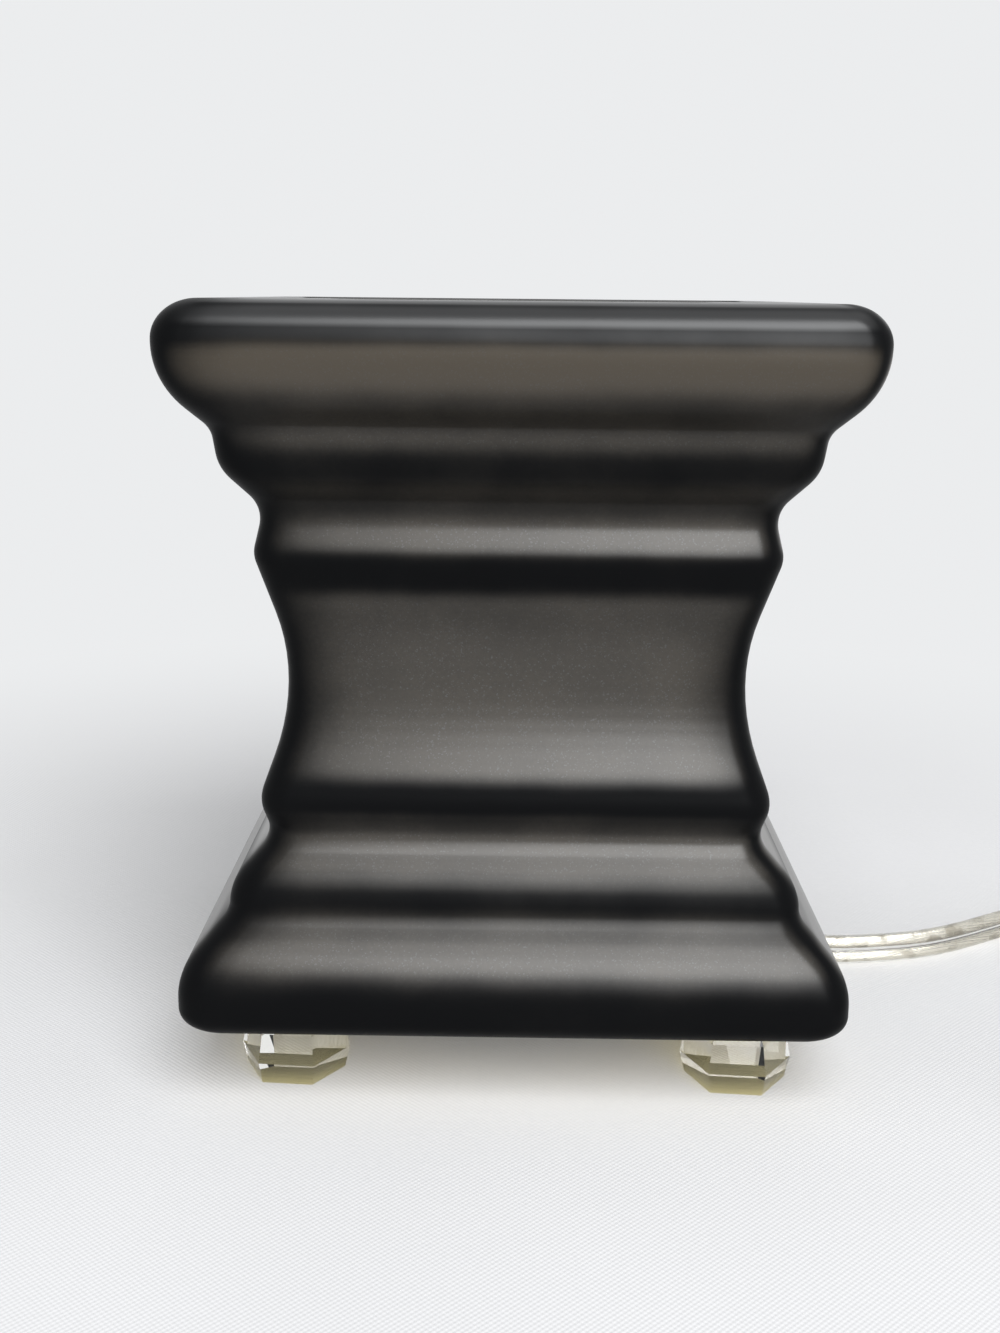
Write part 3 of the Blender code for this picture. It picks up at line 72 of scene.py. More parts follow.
# Rounding of edges on the CAD's pieces
BEVEL_ANGLE = math.radians(40)
STEEL_EDGE = 0.0002
SWITCH_EDGE = 0.0003
PLUG_EDGE = 0.0004
BLADE_EDGE = 0.0001

# Body: its box from the frame, and the sizes of its walls, rebate, ledge and openings
BODY_LOW, BODY_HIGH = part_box("body_shell")
BODY_HALF = BODY_HIGH[0]
BODY_BOTTOM = BODY_LOW[2]
BODY_TOP = BODY_HIGH[2]
BASE_HALF = 0.0636
LOWER_DROP = 0.0665
MIDDLE_Z = BODY_BOTTOM + LOWER_DROP
BASE_RADIUS = 0.0050
TOP_RADIUS = 0.0070
WALL = 0.0046
INNER_PLAN_RADIUS = 0.0020
INNER_LEAST_RADIUS = 0.0008
REBATE_HALF = 0.0505
REBATE_DEPTH = 0.0046
LEDGE_HALF = 0.0460
LEDGE_THICK = 0.0050
LEDGE_ROUND = 0.0008
LEDGE_Z = BODY_TOP - REBATE_DEPTH
FLOOR_THICK = 0.0050
BASE_OPENING_RADIUS = 0.0370
ANCHOR_HOLE_RADIUS = 0.0033
SCREW_CIRCLE = 0.0405
FACING_DOWN = -0.9

# Moulding: (half-width, height over the body's middle line, rounding), in metres
LOWER_MOULDING = [
    (BASE_HALF, -0.0541, 0.0134),
    (0.0549, -0.0452, 0.0046),
    (0.0546, -0.0395, 0.0102),
    (0.0473, -0.0319, 0.0050),
    (0.0496, -0.0246, 0.0081),
]
WAIST_MOULDING = [(0.0418, -0.0025, 0.0454)]
UPPER_MOULDING = [
    (0.0496, 0.0232, 0.0064),
    (0.0477, 0.0317, 0.0069),
    (0.0546, 0.0397, 0.0094),
    (0.0556, 0.0469, 0.0052),
    (BODY_HALF, 0.0554, 0.0163),
]

# Airbrushed black, reaching further over the downward-facing and recessed bands as painted shade: (height
# over the middle line, half-height of the band, strength, sharpness of its edges)
BLACK_PAINT_AND_SHADE_BANDS = [
    (0.0665, 0.0045, 1.00, 4),
    (0.0505, 0.0045, 0.60, 3),
    (0.0405, 0.0045, 0.85, 3),
    (0.03325, 0.0035, 0.65, 2.5),
    (0.0205, 0.0045, 0.95, 4),
    (0.0130, 0.0070, 0.35, 2),
    (-0.02325, 0.00425, 1.00, 3),
    (-0.0285, 0.0020, 0.50, 4),
    (-0.0375, 0.00125, 0.30, 3),
    (-0.04125, 0.00325, 0.90, 3),
    (-0.0460, 0.00275, 0.40, 5),
    (-0.0545, 0.0015, 0.15, 4),
    (-0.0625, 0.00925, 0.95, 5),
]
# Burnish over the black round the top, told in the same way
TOP_SHINE = [
    (0.0697, 0.0008, 0.90, 6.0),
    (0.0670, 0.0017, 1.00, 3.4),
    (0.0632, 0.0032, 0.40, 3.0),
]
# Where a warm reflection of the room is painted into the bronze, under the crown, which faces down
WARM_REFLECTION_BAND = (0.0590, 0.0065, 1.0, 2.4)
# How far the black reaches in from each upright corner, by the corner's sides, and how much more at the
# waist; the front-left corner's wider reach is partly painted shade on the side turned from the light
EDGE_BLACK_AND_SHADE_REACH = {
    (-1, -1): (0.0088, 0.0030),
    (1, -1): (0.0037, 0.0072),
    (1, 1): (0.0082, 0.0033),
    (-1, 1): (0.0072, 0.0029),
}
WAIST_HEIGHT, WAIST_SPAN = -0.0040, 0.0140
EDGE_SOFTNESS = 1.45
BAND_FALLOFF = 0.9
RING_SPACING = 0.0011
BLACK_SHINE = 0.03
SPARKLE_SCALE = 4400.0
CLOTH_THREADS = 5200.0

# Dish
DISH_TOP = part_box("wax_dish")[1][2]
DISH_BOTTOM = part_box("wax_dish")[0][2]
DISH_FOOT_HALF = 0.0320
DISH_FOOT_RADIUS = 0.0045
DISH_BEND_RISE = 0.0074
DISH_BEND_RADIUS = 0.0090
DISH_WALL = 0.0038
DISH_FLOOR_LIFT = 0.0023
DISH_MOUTH_LEAN = 0.0017
DISH_RIM_ROUND = 0.0014
DISH_LIP_ROUND = 0.0008

# Lead: a flat twin lead laid on edge, with its switch, coil and plug
CORD_THICK = 0.0034
CORD_GROOVE = math.radians(38)
CORD_Z = 0.00355
CORD_STRAIGHT = 0.0068
STRANDS_ROUND = 20.0
STRANDS_ALONG = 640.0
BUSHING_Y = 0.0070
BOOT_END_X = 0.0460
BOOT_AXIS_Z = 0.0072
SWITCH_X, SWITCH_Y = 0.2620, -0.0160
SWITCH_LENGTH = 0.0600
SWITCH_AXIS_Z = 0.0088
COIL_X, COIL_Y = 0.2030, -0.0360
COIL_OUTER_RADIUS = 0.0405
COIL_TURNS_A_LAYER = 2.25
COIL_CLIMB_TURNS = 0.5
COIL_SIDE_STEP = 0.0041
COIL_LAYER_STEP = 0.0073
COIL_LEAD_IN = 0.0070
PLUG_REAR_X = 0.1500
PLUG_AXIS_Z = 0.00765

# Camera, from the photograph
FOCAL_PIXELS = 1600.0
FRAME_HEIGHT_PIXELS = 1333.0
SENSOR_HEIGHT = 24.0
CAMERA_PLACE = (0.0, -0.3393, 0.1517)
CAMERA_PITCH = math.radians(13.14)
CAMERA_YAW = math.radians(0.62)
CAMERA_ROLL = math.radians(0.56)

# Studio: the surround's light, and the soft panel in front, above and to the right
SKY_STRENGTH = 0.50
PANEL_WIDTH, PANEL_HEIGHT = 1.10, 1.75
PANEL_RADIANCE = 4.60
PANEL_COLOUR = (0.97, 0.985, 1.0)
PANEL_DISTANCE = 1.40
PANEL_RISE = math.radians(37)
PANEL_TURN = math.radians(19)
PANEL_AIM = (0.0, -0.05, 0.08)
CLOTH_HALF = 8.0
CLOTH_ENDS = (0.10, 0.38)


class WarmerSizes(bpy.types.PropertyGroup):
    """Sizes that change the look of the warmer without moving its parts."""

    plan_radius: FloatProperty(
        name="Corner Radius",
        description="Rounding of the body's four upright corners",
        default=0.0060,
        unit="LENGTH",
    )
    round_step: FloatProperty(
        name="Rounding Step",
        description="Angle between neighbouring rings on a rounded moulding",
        default=math.radians(4),
        subtype="ANGLE",
    )
    corner_steps: IntProperty(
        name="Corner Steps", description="Faces round each upright corner of the body", default=12, min=2
    )
    black_edge: FloatProperty(
        name="Black Edge",
        description="Breadth of the airbrushed black along the upright corners",
        default=1.0,
        min=0.1,
        subtype="FACTOR",
    )
    foot_bevel: FloatProperty(
        name="Foot Bevel", description="Polished edge of each crystal facet", default=0.00022, unit="LENGTH"
    )
    cord_width: FloatProperty(
        name="Lead Width", description="Width of the flat twin lead", default=0.0068, unit="LENGTH"
    )
    strand_radius: FloatProperty(
        name="Strand Bundle Radius",
        description="Radius of each bundle of strands in the lead",
        default=0.00095,
        unit="LENGTH",
    )


class WarmerColours(bpy.types.PropertyGroup):
    """Colours of the warmer's finishes."""

    bronze: FloatVectorProperty(
        name="Bronze Glaze",
        description="Satin glaze on the open faces of the body",
        default=(0.032, 0.0265, 0.0195),
        subtype="COLOR",
    )
    # Painted warm reflection: a browner colour where the crown faces down.
    warm_reflection: FloatVectorProperty(
        name="Painted Warm Reflection",
        description="Warm reflection painted into the satin glaze under the crown",
        default=(0.044, 0.033, 0.0195),
        subtype="COLOR",
    )
    flake: FloatVectorProperty(
        name="Sparkle",
        description="Bright flakes in the bronze",
        default=(0.058, 0.057, 0.054),
        subtype="COLOR",
    )
    # This black also stands in for painted shade on the downward-facing bands.
    black: FloatVectorProperty(
        name="Airbrushed Black And Painted Shade",
        description="Black sprayed over the ridges and corners",
        default=(0.0040, 0.0042, 0.0046),
        subtype="COLOR",
    )
    cloth: FloatVectorProperty(
        name="Cloth",
        description="Cloth under and behind the warmer",
        default=(0.855, 0.85, 0.855),
        subtype="COLOR",
    )
    backdrop: FloatVectorProperty(
        name="Backdrop",
        description="Pale surround of the studio",
        default=(0.835, 0.845, 0.855),
        subtype="COLOR",
    )
    glue: FloatVectorProperty(
        name="Glue",
        description="Adhesive over each crystal foot",
        default=(0.78, 0.66, 0.34),
        subtype="COLOR",
    )


# Shader maths


class Signal:
    """A shader socket that Python's operators combine with Math nodes."""

    def __init__(self, graph, socket):
        self.graph = graph
        self.socket = socket

    def __add__(self, other):
        return self.graph.math("ADD", self, other)

    def __radd__(self, other):
        return self.graph.math("ADD", other, self)

    def __sub__(self, other):
        return self.graph.math("SUBTRACT", self, other)

    def __rsub__(self, other):
        return self.graph.math("SUBTRACT", other, self)

    def __mul__(self, other):
        return self.graph.math("MULTIPLY", self, other)

    def __rmul__(self, other):
        return self.graph.math("MULTIPLY", other, self)


class Graph:
    """The nodes of a material or of the surround."""

    def __init__(self, tree):
        self.tree = tree

    def node(self, kind, settings=None, sockets=None, output=0):
        """Any node: its settings first, then its sockets' values or links."""
        made = self.tree.nodes.new(kind)
        for key, value in (settings or {}).items():
            setattr(made, key, value)
        for key, value in (sockets or {}).items():
            if isinstance(value, Signal):
                self.tree.links.new(value.socket, made.inputs[key])
            else:
                made.inputs[key].default_value = value
        return Signal(self, made.outputs[output])

    def math(self, operation, *values):
        return self.node("ShaderNodeMath", {"operation": operation}, dict(enumerate(values)))

    def limited(self, value, low=0.0, high=1.0):
        """The value's way from low to high as a smooth 0 to 1."""
        settings = {"interpolation_type": "SMOOTHSTEP"}
        return self.node("ShaderNodeMapRange", settings, {0: value, 1: low, 2: high, 3: 0.0, 4: 1.0})

    def mixed(self, share, first, second):
        """A colour between two, each a colour or a link."""
        ends = [color if isinstance(color, Signal) else (*color, 1.0) for color in (first, second)]
        return self.node("ShaderNodeMix", {"data_type": "RGBA"}, {0: share, 6: ends[0], 7: ends[1]}, 2)

    def place(self, scale=(1.0, 1.0, 1.0)):
        """Points of the piece in metres, stretched by a scale."""
        where = self.node("ShaderNodeTexCoord", output="Object")
        return self.node("ShaderNodeVectorMath", {"operation": "MULTIPLY"}, {0: where, 1: scale})

    def noise(self, scale, detail=2.0, where=None):
        """Soft clouds between 0 and 1."""
        sockets = {"Vector": where or self.place(), "Scale": scale, "Detail": detail}
        return self.node("ShaderNodeTexNoise", None, sockets, "Fac")

    def cells(self, scale):
        """A random number for each cell of a fine grain."""
        grain = self.node("ShaderNodeTexVoronoi", None, {"Vector": self.place(), "Scale": scale}, "Color")
        return self.node("ShaderNodeSeparateColor", None, {0: grain})

    def part(self, vector, axis):
        """One axis of a vector."""
        return self.node("ShaderNodeSeparateXYZ", None, {0: vector}, axis)

    def painted(self, name):
        """A number kept on the mesh's points."""
        return self.node("ShaderNodeAttribute", {"attribute_name": name}, None, "Fac")

    def ray(self, kind):
        """1 for a ray of one kind, 0 for any other."""
        return self.node("ShaderNodeLightPath", output=kind)


class Finish(Graph):
    """A material with one Principled shader."""

    def __init__(self, name, color, roughness, metallic=0.0, **constants):
        self.material = bpy.data.materials.new(name)
        self.material.use_nodes = True
        super().__init__(self.material.node_tree)
        self.shader = self.tree.nodes["Principled BSDF"]
        self.shader.inputs["Base Color"].default_value = (*color, 1.0)
        self.shader.inputs["Roughness"].default_value = roughness
        self.shader.inputs["Metallic"].default_value = metallic
        for socket, value in constants.items():
            self.shader.inputs[socket.replace("_", " ")].default_value = value
        self.material.diffuse_color = (*color, 1.0)

    def feed(self, socket, value):
        self.tree.links.new(value.socket, self.shader.inputs[socket])

    def bump(self, height, depth, strength=1.0):
        sockets = {"Height": height, "Distance": depth, "Strength": strength}
        self.feed("Normal", self.node("ShaderNodeBump", None, sockets))

    def give_way(self, share, kind, color):
        """Puts another shader, of one colour, in the surface's place by a share."""
        other = self.node(kind, None, {"Color": (*color, 1.0)})
        own = Signal(self, self.shader.outputs["BSDF"])
        both = self.node("ShaderNodeMixShader", None, {0: share, 1: own, 2: other})
        self.tree.links.new(both.socket, self.tree.nodes["Material Output"].inputs["Surface"])

    def pass_lamps(self, color):
        """Lets the lamps' light through a clear piece, to light what lies inside and under it."""
        self.give_way(self.ray("Is Shadow Ray"), "ShaderNodeBsdfTransparent", color)


# Finishes


def shade(color, factor):
    """A colour made darker or lighter."""
    return [min(1.0, factor * c) for c in color]


def glaze_finish(colours):
    """Satin glaze, airbrushed black and matt on its ridges, with painted shade on its downward-facing bands,
    a painted warm reflection under the crown, and a fine sparkle where it is open.
    """
    coat = {"Coat_IOR": 1.57, "Coat_Roughness": 0.29}
    made = Finish("bronze_glaze", colours.bronze, 0.42, Specular_IOR_Level=BLACK_SHINE, **coat)
    cloud = made.noise(60.0, 5.0)
    fine = made.noise(1500.0, 2.0)
    grain = made.cells(SPARKLE_SCALE)
    shine = made.painted("shine")
    # Where this mask is low the surface takes the black: airbrushed black and, on the downward-facing bands,
    # painted shade.
    spray_and_shade = made.painted("open_unshaded_face") + (cloud - 0.5) * 0.30 + (fine - 0.5) * 0.08
    bronze = made.limited(spray_and_shade, 0.04, 0.96)
    flake = made.limited(grain + (cloud - 0.5) * 0.10, 0.88, 1.0) * bronze
    drift = made.limited(cloud * 0.6 + fine * 0.4, 0.35, 0.65)
    tone = made.mixed(drift, shade(colours.bronze, 0.86), shade(colours.bronze, 1.14))
    # Painted warm reflection under the crown.
    warm_reflection = made.painted("warm_reflection_face")
    lit = made.mixed(flake * (1 - warm_reflection * 0.7), made.mixed(warm_reflection, tone, colours.warm_reflection), colours.flake)
    made.feed("Base Color", made.mixed(bronze, colours.black, lit))
    made.feed("Metallic", bronze * 0.30)
    made.feed("Coat Weight", made.limited(shine + (cloud - 0.5) * 0.24, 0.02, 0.98))
    made.feed("Roughness", 0.40 + (cloud - 0.5) * 0.08 + (fine - 0.5) * 0.06)
    made.bump(cloud * 3.0 + fine * 0.5 + grain * bronze * 0.35, 0.00002)
    return made.material


def bare_finish():
    """Unglazed ceramic under the base."""
    color = (0.66, 0.59, 0.45)
    made = Finish("bare_ceramic", color, 0.85)
    cloud = made.noise(120.0, 4.0)
    fine = made.noise(1400.0, 2.0)
    made.feed("Base Color", made.mixed(cloud, shade(color, 0.82), shade(color, 1.10)))
    made.feed("Roughness", 0.78 + fine * 0.14)
    made.bump(fine, 0.00004)
    return made.material


def dish_finish(colours):
    """Smooth dark glaze of the dish."""
    color = shade(colours.bronze, 0.55)
    made = Finish("dish_glaze", color, 0.28)
    cloud = made.noise(60.0, 3.0)
    fine = made.noise(1200.0)
    made.feed("Base Color", made.mixed(cloud, shade(color, 0.75), shade(color, 1.2)))
    made.feed("Roughness", 0.22 + fine * 0.14)
    made.bump(cloud * 2.0 + fine * 0.5, 0.00003)
    return made.material


def crystal_finish():
    """Clear glass of the feet, which tints the light that goes through it to the glue and the cloth."""
    made = Finish("crystal", (0.985, 0.975, 0.94), 0.0, IOR=1.54, Transmission_Weight=1.0)
    made.feed("Roughness", made.limited(made.noise(900.0, 3.0), 0.62, 0.80) * 0.06)
    made.pass_lamps((1.0, 0.94, 0.66))
    return made.material


def glue_finish(colours):
    """Amber adhesive that dried unevenly."""
    made = Finish("amber_glue", colours.glue, 0.30)
    drift = made.noise(350.0, 3.0)
    made.feed("Base Color", made.mixed(drift, shade(colours.glue, 0.72), shade(colours.glue, 1.25)))
    made.bump(drift, 0.0001)
    return made.material


def metal_finish(name, color, roughness, stretch=(1.0, 1.0, 1.0)):
    """Metal with fine directional marks and slight tarnish."""
    made = Finish(name, color, roughness, 1.0)
    marks = made.noise(900.0, 3.0, made.place(stretch))
    cloud = made.noise(90.0, 3.0)
    made.feed("Base Color", made.mixed(cloud, shade(color, 0.88), shade(color, 1.12)))
    made.feed("Roughness", roughness + (marks - 0.5) * 0.20 + (cloud - 0.5) * 0.12)
    made.bump(marks, 0.00001)
    return made.material


def moulded_finish(name, color, roughness):
    """Moulded plastic or rubber with a fine surface grain."""
    made = Finish(name, color, roughness)
    fine = made.noise(1800.0)
    cloud = made.noise(80.0, 3.0)
    made.feed("Base Color", made.mixed(cloud, shade(color, 0.88), shade(color, 1.12)))
    made.feed("Roughness", roughness + (fine - 0.5) * 0.16 + (cloud - 0.5) * 0.08)
    made.bump(fine, 0.00002)
    return made.material


def glass_finish(name, color):
    """Thin blown glass of the bulb."""
    made = Finish(name, color, 0.0, IOR=1.5, Transmission_Weight=1.0)
    made.feed("Roughness", made.limited(made.noise(400.0), 0.60, 0.85) * 0.05)
    return made.material


def cover_finish():
    """Clear soft vinyl round the strands of the lead."""
    made = Finish("clear_cover", (0.985, 0.98, 0.955), 0.06, IOR=1.42, Transmission_Weight=1.0)
    ripple = made.noise(260.0, 3.0)
    made.feed("Roughness", 0.03 + ripple * 0.07)
    made.bump(ripple, 0.00012)
    made.pass_lamps((0.95, 0.94, 0.90))
    return made.material


def strand_finish():
    """A bundle of fine tinned strands laid in a slow helix, with painted shade in the grooves between strands
    and darker drifting patches; U runs round it, V along it.
    """
    color = (0.90, 0.87, 0.79)
    made = Finish("tinned_strands", color, 0.25, 1.0)
    where = made.node("ShaderNodeUVMap", {"uv_map": "lay"})
    turns = made.part(where, "X") * STRANDS_ROUND + made.part(where, "Y") * STRANDS_ALONG
    wave = made.math("SINE", turns * (2 * math.pi))
    drift = made.noise(260.0, 4.0)
    # Painted shade in the grooves between strands, and darker drifting patches along the bundle.
    groove_shade_and_patches = made.limited(wave * 0.16 + 0.5 + (drift - 0.5) * 2.6, 0.0, 0.40)
    made.feed("Base Color", made.mixed(groove_shade_and_patches, (0.42, 0.39, 0.33), color))
    made.feed("Roughness", 0.20 + (1 - groove_shade_and_patches) * 0.3 + (drift - 0.5) * 0.2)
    made.bump(wave, 0.00003)
    return made.material


def cloth_finish(colours):
    """White woven cloth: threads both ways, with slow unevenness; far off it fades into the backdrop."""
    made = Finish("white_cloth", colours.cloth, 0.9)
    warp = made.math("SINE", made.part(made.place(), "X") * CLOTH_THREADS)
    weft = made.math("SINE", made.part(made.place(), "Y") * CLOTH_THREADS)
    cloud = made.noise(9.0, 4.0)
    fine = made.noise(700.0)
    drift = made.limited(cloud * 0.7 + fine * 0.3, 0.3, 0.7)
    made.feed("Base Color", made.mixed(drift, shade(colours.cloth, 0.975), shade(colours.cloth, 1.02)))
    made.bump(warp * weft + cloud * 6.0, 0.00006, 0.5)
    reach = made.node("ShaderNodeVectorMath", {"operation": "LENGTH"}, {0: made.place()}, "Value")
    made.give_way(made.limited(reach, *CLOTH_ENDS), "ShaderNodeEmission", colours.backdrop)
    return made.material


# Geometry


def rounded(corners, step):
    """Points of an open outline of (across, up, radius) corners, each rounded by an arc."""
    points = [Vector(c[:2]) for c in corners]
    last = len(points) - 1
    reach = [0.0] * len(points)
    turn = [0.0] * len(points)
    for i in range(1, last):
        before = points[i] - points[i - 1]
        after = points[i + 1] - points[i]
        turn[i] = before.angle_signed(after, 0.0)
        reach[i] = corners[i][2] * math.tan(abs(turn[i]) / 2)
    for i in range(last):
        room = ARC_ROOM * (points[i + 1] - points[i]).length
        wanted = reach[i] + reach[i + 1]
        if wanted > room:
            reach[i] *= room / wanted
            reach[i + 1] *= room / wanted
    made = [points[0]]
    for i in range(1, last):
        if reach[i] < ARC_LEAST_REACH:
            made.append(points[i])
            continue
        back = (points[i - 1] - points[i]).normalized()
        ahead = (points[i + 1] - points[i]).normalized()
        radius = reach[i] / math.tan(abs(turn[i]) / 2)
        middle = points[i] + (back + ahead).normalized() * math.hypot(reach[i], radius)
        start = points[i] + back * reach[i] - middle
        count = max(2, math.ceil(abs(turn[i]) / step))
        for k in range(count + 1):
            made.append(middle + Matrix.Rotation(-turn[i] * k / count, 2) @ start)
    made.append(points[last])
    return [(p.x, p.y) for p in made]


def inset(corners, distance, least):
    """The corners of an upward outline, moved inwards by distance, with their radii to suit."""
    points = [Vector(c[:2]) for c in corners]
    lines = []
    for a, b in zip(points, points[1:]):
        along = (b - a).normalized()
        inward = Vector((-along.y, along.x))
        lines.append((a + inward * distance, along, inward))
    made = [(*lines[0][0], 0.0)]
    for i in range(1, len(points) - 1):
        start, along, _ = lines[i - 1]
        other, _, inward = lines[i]
        share = (other - start).dot(inward) / along.dot(inward)
        outward = lines[i - 1][1].cross(lines[i][1]) > 0
        radius = corners[i][2] - distance if outward else corners[i][2] + distance
        made.append((*(start + along * share), max(radius, least)))
    made.append((*(points[-1] + lines[-1][2] * distance), 0.0))
    return made


def square_ring(half, radius, z, steps):
    """A ring of points on a square with rounded corners, with extra points near them."""
    radius = min(radius, half * ARC_ROOM)
    points = []
    for corner in range(4):
        start = corner * math.pi / 2
        turned = Matrix.Rotation(start, 3, "Z")
        middle = turned @ Vector((half - radius, half - radius, z))
        for k in range(steps + 1):
            angle = start + math.pi / 2 * k / steps
            points.append(middle + radius * Vector((math.cos(angle), math.sin(angle), 0)))
        flat = half - radius
        for share in FLAT_SHARES:
            points.append(turned @ Vector((share * flat, half, z)))
    return points


def piece(name, bm, finish, smooth=35.0):
    """An object from a bmesh, shaded smooth except at edges sharper than an angle in degrees."""
    bmesh.ops.remove_doubles(bm, verts=bm.verts, dist=MERGE_DISTANCE)
    bmesh.ops.recalc_face_normals(bm, faces=bm.faces)
    mesh = bpy.data.meshes.new(name)
    bm.to_mesh(mesh)
    bm.free()
    mesh.shade_smooth()
    mesh.set_sharp_from_angle(angle=math.radians(smooth))
    mesh.materials.append(finish)
    made = bpy.data.objects.new(name, mesh)
    bpy.context.scene.collection.objects.link(made)
    return made


def lofted(bm, rings):
    """Faces through rings of equal counts, with both ends closed."""
    rows = [[bm.verts.new(p) for p in ring] for ring in rings]
    count = len(rows[0])
    for low, high in zip(rows, rows[1:]):
        for k in range(count):
            after = (k + 1) % count
            bm.faces.new((low[k], low[after], high[after], high[k]))
    bm.faces.new(rows[0])
    bm.faces.new(rows[-1])


def cut_rods(target, places, radius, low, high):
    """Bores upright round holes through a piece and applies the cut."""
    bm = bmesh.new()
    for x, y in places:
        matrix = Matrix.Translation((x, y, (low + high) / 2))
        size = {"radius1": radius, "radius2": radius, "depth": high - low}
        bmesh.ops.create_cone(bm, cap_ends=True, segments=HOLE_SIDES, matrix=matrix, **size)
    mesh = bpy.data.meshes.new("rods")
    bm.to_mesh(mesh)
    bm.free()
    rods = bpy.data.objects.new("rods", mesh)
    bpy.context.scene.collection.objects.link(rods)
    change = target.modifiers.new("holes", "BOOLEAN")
    change.object = rods
    change.solver = "EXACT"
    apply_modifiers(target)
    bpy.data.objects.remove(rods, do_unlink=True)


def apply_modifiers(target):
    """Turns a piece's evaluated shape into its own mesh."""
    shaped = target.evaluated_get(bpy.context.evaluated_depsgraph_get())
    mesh = bpy.data.meshes.new_from_object(shaped)
    target.modifiers.clear()
    target.data = mesh


def dress(finish, *nodes):
    """Gives CAD nodes their material."""
    for node in nodes:
        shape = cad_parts[node]
        shape.data.materials.clear()
        shape.data.materials.append(finish)


def softened(width, *nodes):
    """Rounds the sharp edges of CAD nodes a little, so that they catch the light."""
    for node in nodes:
        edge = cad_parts[node].modifiers.new("edge", "BEVEL")
        edge.width = width
        edge.segments = 2
        edge.limit_method = "ANGLE"
        edge.angle_limit = BEVEL_ANGLE
        edge.harden_normals = False


def smooth_route(points):
    """Evenly spaced points on a smooth curve, between straight ends to the first and last of the points."""
    ends = [Vector(p) for p in points]
    fine = []
    for a, b, c, d in zip(ends, ends[1:], ends[2:], ends[3:]):
        t1 = math.sqrt((b - a).length)
        t2 = t1 + math.sqrt((c - b).length)
        t3 = t2 + math.sqrt((d - c).length)
        for k in range(CURVE_STEPS):
            t = t1 + (t2 - t1) * k / CURVE_STEPS
            ab = a.lerp(b, t / t1)
            bc = b.lerp(c, (t - t1) / (t2 - t1))
            cd = c.lerp(d, (t - t2) / (t3 - t2))
            fine.append(ab.lerp(bc, t / t2).lerp(bc.lerp(cd, (t - t1) / (t3 - t1)), (t - t1) / (t2 - t1)))
    fine.append(ends[-2])
    along = [0.0]
    for a, b in zip(fine, fine[1:]):
        along.append(along[-1] + (b - a).length)
    count = max(2, round(along[-1] / CORD_SPACING))
    made, k = [], 0
    for i in range(count + 1):
        at = along[-1] * i / count
        while k < len(fine) - 2 and along[k + 1] < at:
            k += 1
        share = (at - along[k]) / (along[k + 1] - along[k])
        made.append(fine[k].lerp(fine[k + 1], share))
    return [ends[0], *made, ends[-1]]


def twin_section(width, thick):
    """The outline of a flat twin lead, (across, up) points: two round lobes and the groove between them."""
    lobe = thick / 2
    rise = (width - thick) / 2
    points = []
    for side in (1, -1):
        for k in range(LOBE_STEPS + 1):
            angle = -math.pi / 2 + CORD_GROOVE + (2 * math.pi - 2 * CORD_GROOVE) * k / LOBE_STEPS
            x = lobe * math.cos(angle)
            y = lobe * math.sin(angle)
            points.append((x * side, (y + rise) * side))
    return points


def swept(bm, path, section, uv_name=None):
    """A tube of an (across, up) section along a nearly level path; a named UV map runs round and along it."""
    rows = []
    layer = bm.loops.layers.uv.new(uv_name) if uv_name else None
    along = 0.0
    lengths = []
    for i, p in enumerate(path):
        ahead = path[min(i + 1, len(path) - 1)]
        behind = path[max(i - 1, 0)]
        forward = (ahead - behind).normalized()
        side = forward.cross(Vector((0, 0, 1))).normalized()
        up = side.cross(forward)
        rows.append([bm.verts.new(p + side * x + up * y) for x, y in section])
        if i:
            along += (p - path[i - 1]).length
        lengths.append(along)
    count = len(section)
    for i in range(len(rows) - 1):
        for k in range(count):
            after = (k + 1) % count
            face = bm.faces.new((rows[i][k], rows[i][after], rows[i + 1][after], rows[i + 1][k]))
            if layer:
                spots = ((k, i), (k + 1, i), (k + 1, i + 1), (k, i + 1))
                for loop, (u, v) in zip(face.loops, spots):
                    loop[layer].uv = (u / count, lengths[v])
    bm.faces.new(rows[0])
    bm.faces.new(rows[-1])


def path_length(path):
    """The length of a path through its points."""
    return sum((b - a).length for a, b in zip(path, path[1:]))


# Ceramic


def moulding_outline(step):
    """The body's outside, ledge and inside as outlines of (half-width, height) points."""
    moulding = [(h, MIDDLE_Z + z, r) for h, z, r in LOWER_MOULDING + WAIST_MOULDING + UPPER_MOULDING]
    outside = [
        (BASE_HALF - 2 * BASE_RADIUS, BODY_BOTTOM, 0.0),
        (BASE_HALF, BODY_BOTTOM, BASE_RADIUS),
        *moulding,
        (BODY_HALF, BODY_TOP, TOP_RADIUS),
        (REBATE_HALF, BODY_TOP, LEDGE_ROUND),
        (REBATE_HALF, LEDGE_Z, 0.0),
    ]
    inner_half = BODY_HALF - WALL
    ledge = [
        (REBATE_HALF, LEDGE_Z, 0.0),
        (LEDGE_HALF, LEDGE_Z, LEDGE_ROUND),
        (LEDGE_HALF, LEDGE_Z - LEDGE_THICK, LEDGE_ROUND),
        (inner_half, LEDGE_Z - LEDGE_THICK, 0.0),
    ]
    walls = [(BASE_HALF, BODY_BOTTOM + FLOOR_THICK, 0.0), *moulding, (BODY_HALF, LEDGE_Z - LEDGE_THICK, 0.0)]
    inside = rounded(inset(walls, WALL, INNER_LEAST_RADIUS), INSIDE_COARSENESS * step)
    return rounded(outside, step)[1:], rounded(ledge, step)[1:-1], inside


